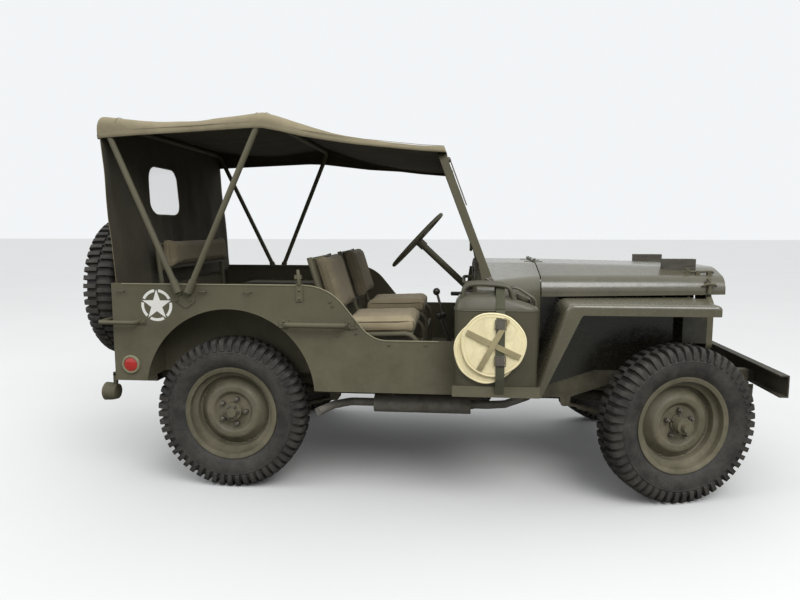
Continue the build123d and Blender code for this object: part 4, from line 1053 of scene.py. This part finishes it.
def build_bucket():
    """Two stacked canvas discs with piped rims, and two webs crossed over the front one."""
    centre = (bucket_low + bucket_high) / 2 + bucket_shift
    radius = (bucket_high.x - bucket_low.x) / 2 * bucket_share
    face_y = bucket_low.y
    # shift of the centre along X and Z, how far behind the face, radius
    discs = ((-0.028, -0.031, 0.0125, radius * 0.98), (0.0, 0.0, 0.0, radius * 0.985))
    for index, (dx, dz, back, size) in enumerate(discs):
        rows = []
        for ring in range(22):
            share = ring / 21
            row = []
            for turn in turns(96):
                wobble = 1 + 0.016 * math.sin(3 * turn + index) + 0.008 * math.sin(7 * turn)
                across, up = polar(size * share * wobble, turn)
                x = centre.x + dx + across
                z = centre.z + dz + up
                lift = wrinkle(x * 1.1, z * 0.6, index * 3.0, 17, 0.0032) * (1 - share ** 4)
                lift += 0.0016 * math.sin(turn * 5 + share * 4) * share * (1 - share)
                row.append(Vector((x, face_y + back + 0.003 + lift, z)))
            rows.append(row)
        shape = Shape()
        shape.rings(rows, caps=False)
        disc = piece("bucket_disc_%d" % index, shape, bucket_cloth, angle=60,
                     outward=-outboard)
        thicken(disc, 0.01)
        rim = Shape()
        rim.tube([p + aside(0.003) for p in rows[-1]], 0.0046, 10, loop=True)
        rim.tube([p - aside(0.0004) for p in rows[-3]], 0.0011, 6, loop=True)
        piece("bucket_rim_%d" % index, rim, bucket_cloth)
        if index == 1:
            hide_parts("canvas_bucket")
    # angle in degrees, and how far the upper web lies over the lower one
    for index, (angle, lift) in enumerate(((-25, 0.0), (62, 0.0024))):
        turn = math.radians(angle)
        line = []
        for k in range(25):
            t = -1 + 2 * k / 24
            bulge = -0.006 - lift * (1 - abs(t)) ** 0.5 + 0.005 * abs(t) ** 4
            line.append(Vector((centre.x, face_y + bulge, centre.z)) + about_y(t * radius * 0.92, turn))
        shape = strap_shape(line, web_width, webbing_depth, about_y(1, turn + math.pi / 2))
        web = piece("bucket_web_%d" % index, shape, tan_web, angle=60)


def build_can_strap():
    """Olive strap from the tray, over the bucket and the can's top, with two buckles."""
    x = can_low.x + 0.187
    front = bucket_low.y - 0.0015
    near, far = can_low.y, can_high.y
    base, low, high = can_low.z, bucket_low.z, bucket_high.z
    # rows of (y, z) from the tray up the front, over the top and down the back
    places = ((near - 0.01, base + 0.01), (front + 0.006, low - 0.004), (front, low + 0.03),
              (front - 0.0005, (low + high) / 2), (front, high - 0.03), (near - 0.006, high + 0.012),
              (near - 0.004, base + 0.368), (near + 0.012, base + 0.4), (near + 0.04, base + 0.452),
              (near + 0.082, base + 0.463), (far - 0.04, base + 0.452), (far + 0.006, base + 0.41),
              (far + 0.008, base + 0.3))
    line = curve_through([(x, y, z) for y, z in places], 8)
    shape = strap_shape(line, strap_width, webbing_depth, forward)
    strap = piece("can_strap", shape, green_web, angle=60)
    buckles = Shape()
    y = front - 0.004
    for z in (high - 0.042, low + 0.088):
        corners = ((-0.022, -0.02), (-0.022, 0.02), (0.022, 0.02), (0.022, -0.02))
        buckles.tube([(x + a, y, z + b) for a, b in corners], 0.0022, loop=True)
        buckles.tube([(x + a, y - 0.002, z) for a in (-0.022, 0.022)], 0.0022)
        buckles.block(x, y - 0.0035, 0.017, 0.001, z - 0.018, z + 0.018)
    piece("strap_buckles", buckles, dull_steel, bevel=0.0006)


# Markings, lamps and small fittings

# the star's place, ahead of the rear axle and height, and the radii of its points, notches and ring
star_middle = (-0.314, 0.88)
star_tip = 0.0725
star_notch = 0.0277
ring_inner = 0.061
ring_outer = 0.074
sill_height = 0.734
handle_height = 0.802
spring_side = 0.349
damper_side = 0.3
# aside, height
marker_lamp = (0.33, 0.664)
tail_lamp_side = 0.63
brake_lever_side = -0.13
fender_joint_side = 0.395


def build_star():
    """White star in a broken ring on both sides of the tub."""
    corners = [polar(star_notch if k % 2 else star_tip, turn) for k, turn in enumerate(turns(10, 90))]
    fields = [((0, 0), corners[k], corners[(k + 1) % 10]) for k in range(10)]
    for first in range(98, 458, 72):
        arc = [math.radians(first + 56 * step / 12) for step in range(13)]
        edges = [(polar(ring_inner, turn), polar(ring_outer, turn)) for turn in arc]
        for a, b in zip(edges, edges[1:]):
            fields.append((a[0], a[1], b[1], b[0]))
    for side, name in ((-1, "right"), (1, "left")):
        shape = Shape()
        origin = (at(star_middle[0]), side * (body_side + 0.0003), star_middle[1])
        for field in fields:
            shape.prism(field, origin, forward * -side, upward, -0.0004)
        piece("star_" + name, shape, white_paint, angle=20)


def build_headlamps():
    """Headlamps with rim and glass, and the marker lamps below them."""
    low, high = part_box("headlamps")
    radius = (high.z - low.z) / 2
    back = high.x - low.x
    bowl, glass, rim, markers, marker_rims = shapes(5)
    for side in both_sides:
        y = side * (high.y - radius)
        z = (high.z + low.z) / 2
        origin = (high.x, y, z)
        bowl.lathe(((-0.001, radius - 0.002), (-0.012, radius - 0.002), (-0.03, radius - 0.012),
                    (-0.055, radius - 0.034), (-back + 0.004, radius - 0.064), (-back, 0.004)),
                   origin, forward)
        rim.tube(hoop((high.x - 0.002, y, z), radius - 0.01, 64), 0.0048, 10, loop=True)
        glass.lathe(((-0.004, radius - 0.01), (0.0, radius - 0.014), (0.0045, radius * 0.55),
                     (0.006, 0.002)), origin, forward)
        place = (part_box("grille")[1].x, side * marker_lamp[0], marker_lamp[1])
        marker_rims.lathe(((0, 0.03), (0.01, 0.03), (0.014, 0.024)), place, forward, 32)
        markers.lathe(((0.012, 0.0235), (0.017, 0.016), (0.019, 0.002)), place, forward, 32)
    bowls = piece("lamp_bowls", bowl, mirror_steel)
    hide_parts("headlamps")
    piece("lamp_rims", rim, paint)
    piece("lamp_glasses", glass, lamp_lens)
    piece("marker_rims", marker_rims, paint)
    piece("marker_lenses", markers, lamp_lens)


def build_rear_lamps():
    """Tail lamps with a red lens and a bracket, and the round side reflectors."""
    housings, reds, rims = shapes(3)
    for side in both_sides:
        y = side * tail_lamp_side
        place = (at(-0.638), y, 0.44)
        housings.lathe(((0.064, 0.02), (0.056, 0.036), (0.03, 0.042), (-0.004, 0.044), (-0.008, 0.038)),
                       place, forward, 40)
        reds.lathe(((-0.002, 0.038), (-0.01, 0.036), (-0.016, 0.024), (-0.018, 0.002)), place, forward, 40)
        housings.block(at(-0.5925), y, 0.0075, 0.009, 0.478, 0.53)
        housings.block(at(-0.565), y, 0.035, 0.009, 0.52, 0.536)
        disc = (at(-0.45), side * body_side, 0.6)
        rims.lathe(((0, 0.0435), (0.006, 0.0435), (0.01, 0.04), (0.01, 0.0335), (0.004, 0.0315)), disc,
                   aside(side))
        reds.lathe(((0.002, 0.033), (0.0075, 0.031), (0.0105, 0.02), (0.0115, 0.002)), disc, aside(side))
    lamps = piece("rear_lamp_shells", housings, paint)
    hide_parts("rear_lamps")
    piece("red_lenses", reds, red_lens)
    # The reflector rims are lighter as a painted highlight.
    piece("reflector_rims", rims, rim_paint)


def build_bolts():
    """Bolts and rivets of the bodywork."""
    bolts = Shape()
    # how proud of the body's side, radius, then places ahead of the rear axle and heights
    on_body = (
        (0.004, 0.005, ((0.275, handle_height), (0.597, handle_height), (-0.378, handle_height))),
        (0.005, 0.006, ((-0.214, 0.95), (-0.15, 0.95), (-0.214, 0.905), (-0.15, 0.905))),
        (0.0, 0.0048, ((0.498, 0.905), (0.508, 0.886), (0.618, 0.788), (0.616, 0.764), (0.528, 0.752),
                       (0.763, 0.714), (0.926, 0.716))),
    )
    for side in both_sides:
        for z in (0.522, 0.576):
            for dy in (-0.0144, 0.0144):
                bolts.bolt((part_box("front_bumper")[1].x, side * spring_side + dy, z), forward, 0.008)
        for proud, radius, places in on_body:
            for ahead, z in places:
                bolts.bolt((at(ahead), side * (body_side + proud), z), aside(side), radius)
        for k in range(7):
            bolts.bolt((at(1.47 + 0.115 * k), side * fender_joint_side, fender_high.z), upward, 0.006)
        for ahead, z in ((1.457, 0.515), (1.467, 0.6), (1.49, 0.7), (1.512, 0.8)):
            bolts.bolt((at(ahead), side * 0.6, z), (-0.94, 0, 0.33), 0.001)
    piece("body_bolts", bolts, paint)


def rounded_path(corners):
    """Points along straight lines between (x, z, radius) corners, rounded at each radius."""
    steps = 10
    path = [Vector(corners[0][:2])]
    for before, corner, after in zip(corners, corners[1:], corners[2:]):
        tip = Vector(corner[:2])
        back = (Vector(before[:2]) - tip).normalized()
        ahead = (Vector(after[:2]) - tip).normalized()
        half = back.angle(ahead) / 2
        reach = corner[2] / math.tan(half)
        middle = tip + (back + ahead).normalized() * (corner[2] / math.sin(half))
        start, end = tip + back * reach - middle, tip + ahead * reach - middle
        for k in range(steps + 1):
            path.append(middle + start.lerp(end, k / steps).normalized() * corner[2])
    path.append(Vector(corners[-1][:2]))
    return path


def build_edge_beads():
    """Rolled edge along the top of each body side and down into the door cut, in a light paint as a painted
    highlight.
    """
    beads = Shape()
    drop = 0.0028
    corners = ((at(-0.48), body_top - drop), (at(0.486), body_top - drop, 0.23),
               (at(0.686), sill_height - drop, 0.15), (at(0.985), sill_height - drop))
    for side in both_sides:
        beads.tube([(p.x, side * body_side, p.y) for p in rounded_path(corners)], 0.003)
    # The beads are lighter as a painted highlight along the edge.
    piece("body_edge_beads", beads, rim_paint)


# how far aside, and the height of the hold-down bar and of the ends of the latch's cross bar
hold_down_side = 0.345
hold_down_height = 1.031
latch_side = 0.418
cross_bar_height = 0.962


def build_hood_fittings():
    """Spring latches at the front corners and the hold-down brackets behind them."""
    lid = Shape()
    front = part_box("hood")[1].x
    for side in both_sides:
        # bracket on the shoulder: an upright lug, a bar forward and its two feet
        y = side * hold_down_side
        x = front - 0.157
        z = hold_down_height
        lug = ((-0.011, -0.04), (0.012, -0.036), (0.01, 0.004), (0.002, 0.014), (-0.012, 0.012))
        lid.prism(lug, (x, y - 0.003, z), forward, upward, -0.006)
        bar = ((-0.002, -0.004), (0.03, -0.008), (0.105, -0.006), (0.118, -0.014))
        lid.bend([(x + dx, y, z + dz) for dx, dz in bar], 5, 0.0055, 10)
        for dx in (0.045, 0.098):
            lid.block(x + dx, y, 0.009, 0.01, z - 0.026, z - 0.003)
        # latch: an anchor knob and loop on the lid, a cross bar, and a stem that hooks on the fender
        y = side * latch_side
        x = front - 0.078
        lid.lathe(((0.0, 0.01), (0.01, 0.01), (0.014, 0.006)), (x - 0.004, side * 0.404, 0.992),
                  (0, side, 0.2), 16)
        lid.bend([(x - 0.01, side * 0.41, 0.996), (x - 0.002, y, 0.984), (x, y, 0.97)], 5, 0.005)
        bar = ((-0.029, 0.0, 0.0), (-0.016, 0.004, 0.007), (0.0, 0.005, 0.009), (0.016, 0.004, 0.007),
               (0.029, 0.0, 0.0))
        lid.bend([(x + dx, y + side * out, cross_bar_height + dz) for dx, out, dz in bar], 4, 0.0072, 10)
        lid.tube(((x, y, 0.968), (x - 0.003, y + side * 0.004, 0.926)), 0.0085, 12)
    piece("hood_latches", lid, paint, "hood_lid", bevel=0.001)


windshield_rake = math.radians(21)
windshield_foot = Vector((at(1.208), 0, 0.992))
# each pane: its middle aside and up the slope, its half sizes and its corner radius
pane_side = 0.339
pane_rise = 0.3985
pane_half = (0.327, 0.1885)
pane_corner = 0.028
wiper_rise = 0.604
wing_nut_side = 0.7095


def build_windshield_fittings():
    """Pane seals, wiper arms and the wing nuts on the pivots."""
    up = about_y(1, windshield_rake + math.pi / 2)
    out = about_y(1, windshield_rake)
    seals, arms = shapes(2)
    for side in both_sides:
        for face in (-0.0045, 0.0045):
            middle = windshield_foot + up * pane_rise + out * face + aside(side * pane_side)
            outline = rounded_box(*pane_half, pane_corner, 64)
            seals.tube([middle + up * p.y + aside(p.x) for p in outline], 0.0048, loop=True)
        pivot = windshield_foot + up * wiper_rise + out * 0.019 + aside(side * 0.34)
        arms.lathe(((0, 0.014), (0.012, 0.014), (0.016, 0.008)), pivot, out, 20)
        tip = pivot - up * 0.24 + aside(side * 0.13) - out * 0.004
        arms.tube((pivot + out * 0.012, tip + out * 0.012), 0.0032)
        arms.tube((tip - up * 0.11 + aside(side * 0.05), tip + up * 0.1 - aside(side * 0.05)), 0.0042)
        nut = windshield_foot + Vector((0, side * wing_nut_side, 0.012))
        wing = Vector((0.022, 0, -0.012))
        arms.lathe(((0, 0.016), (0.008, 0.016), (0.014, 0.01), (0.02, 0.01)), nut, aside(side), 24)
        arms.tube([nut + aside(side * 0.017) + wing * way for way in (-1, 1)], 0.004)
    piece("pane_seals", seals, seal_rubber)
    piece("wiper_arms", arms, dull_steel)


def build_dash():
    """Round gauges, switches, glove box lid and grab bar on the dash."""
    dials, bezels, marks, needles, lid, bar = shapes(6)
    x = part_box("dash_panel")[0].x
    # across from the middle, height, radius
    gauges = ((0.02, 0.955, 0.043), (-0.075, 0.99, 0.027), (-0.075, 0.92, 0.027), (0.115, 0.99, 0.027),
              (0.115, 0.92, 0.027))
    for y, z, radius in gauges:
        origin = Vector((x, y, z))
        dials.lathe(((0.0, radius), (0.004, radius - 0.002)), origin, -forward, 40)
        bezels.tube(hoop((x - 0.006, y, z), radius, 40), 0.0028, loop=True)
        # nine marks over three quarters of the dial
        for k in range(9):
            turn = math.radians(225 - 270 * k / 8)
            marks.tube([origin + Vector((-0.0045, *polar(radius * share, turn))) for share in (0.68, 0.84)],
                       0.0009, 6)
        tip = Vector((0, *polar(radius * 0.6, math.radians(215))))
        needles.tube([origin - forward * 0.0055 + tip * share for share in (0, 1)], [0.0014, 0.0005], 6)
    knob = ((0, 0.01), (0.006, 0.01), (0.008, 0.006), (0.022, 0.006), (0.024, 0.009), (0.03, 0.007))
    for k in range(4):
        bezels.lathe(knob, (x, 0.19 + 0.04 * k, 0.905), -forward, 16)
    lid.box((x - 0.006, -0.56, 0.89), (x, -0.24, 1.005))
    piece("glove_lid", lid, paint, bevel=0.004)
    line = ((0.0, -0.6), (0.05, -0.6), (0.055, -0.5), (0.055, -0.34), (0.05, -0.24), (0.0, -0.24))
    bar.bend([(x - back, y, 0.985) for back, y in line], 5, 0.008, 10)
    piece("dash_bar", bar, paint)
    piece("gauge_dials", dials, gauge_face)
    piece("gauge_bezels", bezels, dull_steel)
    piece("gauge_marks", marks, white_paint)
    piece("gauge_needles", needles, white_paint)


def build_cab_fittings():
    """Pedals, hand brake, lever knobs and the shift levers beside the main one."""
    rods, pads, knobs = shapes(3)
    for y in (0.25, 0.33, 0.455):
        foot = Vector((at(1.335), y, 0.615))
        rods.bend([(at(1.42), y, 0.7), (at(1.36), y, 0.66), foot], 4, 0.007)
        pads.lathe(((0, 0.03), (0.007, 0.03), (0.009, 0.026)), foot, (-0.8, 0, 0.6), 24)
    # tip ahead of the rear axle, then across at the foot and at the tip
    for ahead, y_foot, y_tip in ((0.985, -0.075, -0.086), (0.965, -0.115, -0.134)):
        base = Vector((at(1.02), y_foot, 0.498))
        tip = Vector((at(ahead), y_tip, 0.76))
        rods.bend([base, (base + tip) / 2 + forward * 0.02, tip], 5, 0.006, 10)
        knobs.lathe(((-0.014, 0.006), (-0.01, 0.013), (0.0, 0.016), (0.011, 0.012), (0.016, 0.003)), tip,
                    upward, 20)
        rods.lathe(((0, 0.03), (0.004, 0.03), (0.008, 0.016)), base, upward, 24)
    lever = ((1.149, 0.9), (1.09, 0.89), (1.06, 0.885))
    rods.bend([(at(ahead), brake_lever_side, z) for ahead, z in lever], 4, 0.008, 10)
    knobs.lathe(((-0.02, 0.011), (0.02, 0.011), (0.024, 0.006)), (at(1.05), brake_lever_side, 0.884),
                -forward, 16)
    low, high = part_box("gear_lever")
    top = Vector((low.x + 0.02, high.y - 0.02, high.z - 0.02))
    knobs.lathe(((-0.0208, 0.006), (-0.014, 0.0155), (0.0, 0.0209), (0.014, 0.0155), (0.0209, 0.003)), top,
                (0.2, 0, 1), 28)
    piece("cab_rods", rods, dull_steel)
    piece("pedal_pads", pads, seal_rubber)
    piece("lever_knobs", knobs, grip_plastic)


def build_running_gear():
    """U-bolts with their plates, spring clips and shock absorbers."""
    gear, dampers = shapes(2)
    u_bolt = ((-0.03, 0.262), (-0.03, 0.378), (0.0, 0.396), (0.03, 0.378), (0.03, 0.262))
    for x in (rear_axle, front_axle):
        for side in both_sides:
            y = side * spring_side
            for dx in (-0.024, 0.024):
                gear.bend([(x + dx, y + dy, z) for dy, z in u_bolt], 5, 0.0055)
            gear.block(x, y, 0.045, 0.042, 0.262, 0.271)
            for dx in (-0.22, 0.22):
                gear.block(x + dx, y, 0.012, 0.026, 0.297, 0.303)
            top = Vector((x + 0.1, side * damper_side, 0.47))
            foot = Vector((x + 0.03, side * (damper_side + 0.002), 0.268))
            dampers.lathe(((0.0, 0.02), (0.1, 0.02), (0.102, 0.027), (0.19, 0.027), (0.193, 0.012)),
                          foot, top - foot, 24)
            dampers.tube((foot - aside(side * 0.002), foot + aside(side * 0.024)), 0.01, 12)
            dampers.tube((top, top + aside(side * 0.028)), 0.01, 12)
    piece("spring_clamps", gear, frame_paint, bevel=0.001)
    piece("shock_absorbers", dampers, frame_paint)


def add_side_fittings(shape, side):
    """Bracket by the door cut, grip and feet of the grab handle, and loops for the lashings."""
    y = side * (body_side + 0.001)

    def plate(ahead, half, depth, low, high):
        """Plate on the body's side, between two heights."""
        shape.block(at(ahead), y + side * depth / 2, half, depth / 2, low, high)

    def bar(line, steps, radius, segments=8):
        """Bar through places given as ahead of the rear axle, out from the body's side, height."""
        shape.bend([(at(ahead), y + side * out, z) for ahead, out, z in line], steps, radius, segments)

    plate(0.358, 0.016, 0.005, 0.905, 0.986)
    bar(((0.358, 0.004, 0.98), (0.358, 0.006, 1.01), (0.352, -0.004, 1.046)), 5, 0.008, 10)
    plate(0.355, 0.016, 0.011, 1.006, 1.024)
    for z in (0.918, 0.956):
        shape.rivet((at(0.358), y + side * 0.005, z), aside(side), 0.0075, 0.004)
    grip = ((0.304, 0.029), (0.33, 0.039), (0.54, 0.039), (0.566, 0.029))
    bar([(ahead, out, handle_height) for ahead, out in grip], 6, 0.0125, 16)
    for ahead in (0.285, 0.585):
        plate(ahead, 0.021, 0.006, handle_height - 0.019, handle_height + 0.019)
        for z in (handle_height - 0.011, handle_height + 0.011):
            shape.rivet((at(ahead), y + side * 0.006, z), aside(side), 0.006, 0.004)
    hook = ((-0.016, 0), (-0.012, 0.014), (0.012, 0.014), (0.016, 0))
    for x in (-0.48, -0.09, 0.12):
        bar([(x + dx, out, 0.945) for dx, out in hook], 4, 0.0028)


def build_side_fittings():
    """The fittings on the outside of both body sides, as one piece."""
    shape = Shape()
    for side in both_sides:
        add_side_fittings(shape, side)
    piece("side_brackets", shape, paint, bevel=0.001)


# Camera, lights and floor

# metres, degrees and millimetres
camera_place = (at(1.0845), -3.534, 1.239)
camera_turn = (83.45, 0.0, 5.55)
camera_lens = 28.71
# strength of the sky: at the horizon, overhead, and as the camera sees it
horizon_light = 0.32
overhead_light = 1.75
seen_light = 0.95
sky_colour = (0.94, 0.96, 0.98)
floor_reach = 60
# the floor as it lights the object, and its two tones as the camera sees it
floor_dim = (0.17, 0.17, 0.15)
floor_tones = ((0.6, 0.6, 0.59), (0.64, 0.64, 0.63))


def build_camera():
    """The photograph's camera, as solved from the published sizes."""
    data = bpy.data.cameras.new("photo_camera")
    data.lens = camera_lens
    data.sensor_width = 36
    obj = new_object("photo_camera", data)
    obj.location = camera_place
    obj.rotation_euler = [math.radians(a) for a in camera_turn]
    scene.camera = obj


def build_lights():
    """Soft sky light, strongest overhead, with two wide lamps that shape the sides."""
    # name, place, size, power
    rows = (
        ("front_light", (3.0, -5.5, 6.0), 5.0, 340),
        ("rear_light", (-6.0, -3.0, 5.0), 6.0, 130),
    )
    for name, place, size, power in rows:
        data = bpy.data.lights.new(name, "AREA")
        data.shape = "DISK"
        data.size = size
        data.energy = power
        obj = new_object(name, data)
        obj.location = place
        aim = Vector((0, 0, 0.6)) - Vector(place)
        obj.rotation_euler = aim.to_track_quat("-Z", "Y").to_euler()
    world = bpy.data.worlds.new("studio")
    scene.world = world
    world.use_nodes = True
    sky = Nodes(world.node_tree)
    background = sky.tree.nodes["Background"]
    sky.feed(background.inputs["Color"], sky_colour)
    direction = sky.add("ShaderNodeTexCoord").outputs["Generated"]
    lighting = sky.remap(sky.along(direction, 2), 0.0, 1.0, horizon_light, overhead_light)
    path = sky.add("ShaderNodeLightPath").outputs
    seen = sky.maths("MAXIMUM", path["Is Camera Ray"], path["Is Glossy Ray"])
    seen = sky.maths("MAXIMUM", seen, path["Is Transmission Ray"])
    lit = sky.times(sky.maths("SUBTRACT", 1.0, seen), lighting)
    shown = sky.times(seen, seen_light)
    sky.feed(background.inputs["Strength"], sky.maths("ADD", shown, lit))


def build_floor():
    """Pale floor that shows lighter to the camera than it lights the object."""
    mesh = bpy.data.meshes.new("studio_floor")
    corners = [(x * floor_reach, y * floor_reach, 0) for x, y in ((-1, -1), (1, -1), (1, 1), (-1, 1))]
    mesh.from_pydata(corners, [], [(0, 1, 2, 3)])
    obj = new_object("studio_floor", mesh)
    look = Look("floor")
    pale = look.mix(look.noise(0.8, 4), *floor_tones)
    seen = look.add("ShaderNodeLightPath").outputs["Is Camera Ray"]
    mesh.materials.append(look.done(look.mix(seen, floor_dim, pale), 0.9, Specular_IOR_Level=0.0))


build_camera()
build_lights()
build_floor()

# CAD nodes shown as they are, their material and the width of their bevelled edges
for names, material, bevel in (
    ("body_side_right body_side_left rear_panel floor wheelhouses dash_panel", paint, 0.001),
    ("grille windshield_frame top_bows bow_sockets", paint, 0.001),
    ("fender_left fender_right", fender_paint, 0.001),
    ("cowl", cowl_paint, 0.001),
    ("seat_frames steering_column steering_wheel grab_handles mirror jerrycan_tray", paint, 0.0),
    ("rear_bumperettes spare_rim", paint, 0.0015),
    ("front_bumper", bumper_paint, 0.0015),
    ("hood", hood_paint, 0.001),
    ("hood_blocks", dark_wood, 0.002),
    ("frame_rails frame_crossmembers skid_plate leaf_springs front_axle rear_axle", frame_paint, 0.0),
    ("drivetrain tie_rod knuckle_left knuckle_right radiator", frame_paint, 0.0),
    ("engine", engine_paint, 0.004),
    ("exhaust", rust_steel, 0.0),
    ("gear_lever", dull_steel, 0.0),
    ("windshield_glass", pane, 0.0),
    (" ".join("wheel_" + name for name in wheel_names), wheel_paint, 0.0),
):
    dress(names, material, bevel)

build_wheels()
build_hems(build_roof())
for build in (build_curtain, build_seats, build_can, build_bucket, build_can_strap, build_star,
              build_headlamps, build_rear_lamps, build_bolts, build_edge_beads, build_hood_fittings,
              build_windshield_fittings, build_dash, build_cab_fittings, build_running_gear,
              build_side_fittings):
    build()

scene.view_settings.view_transform = "Standard"
bpy.context.view_layer.update()
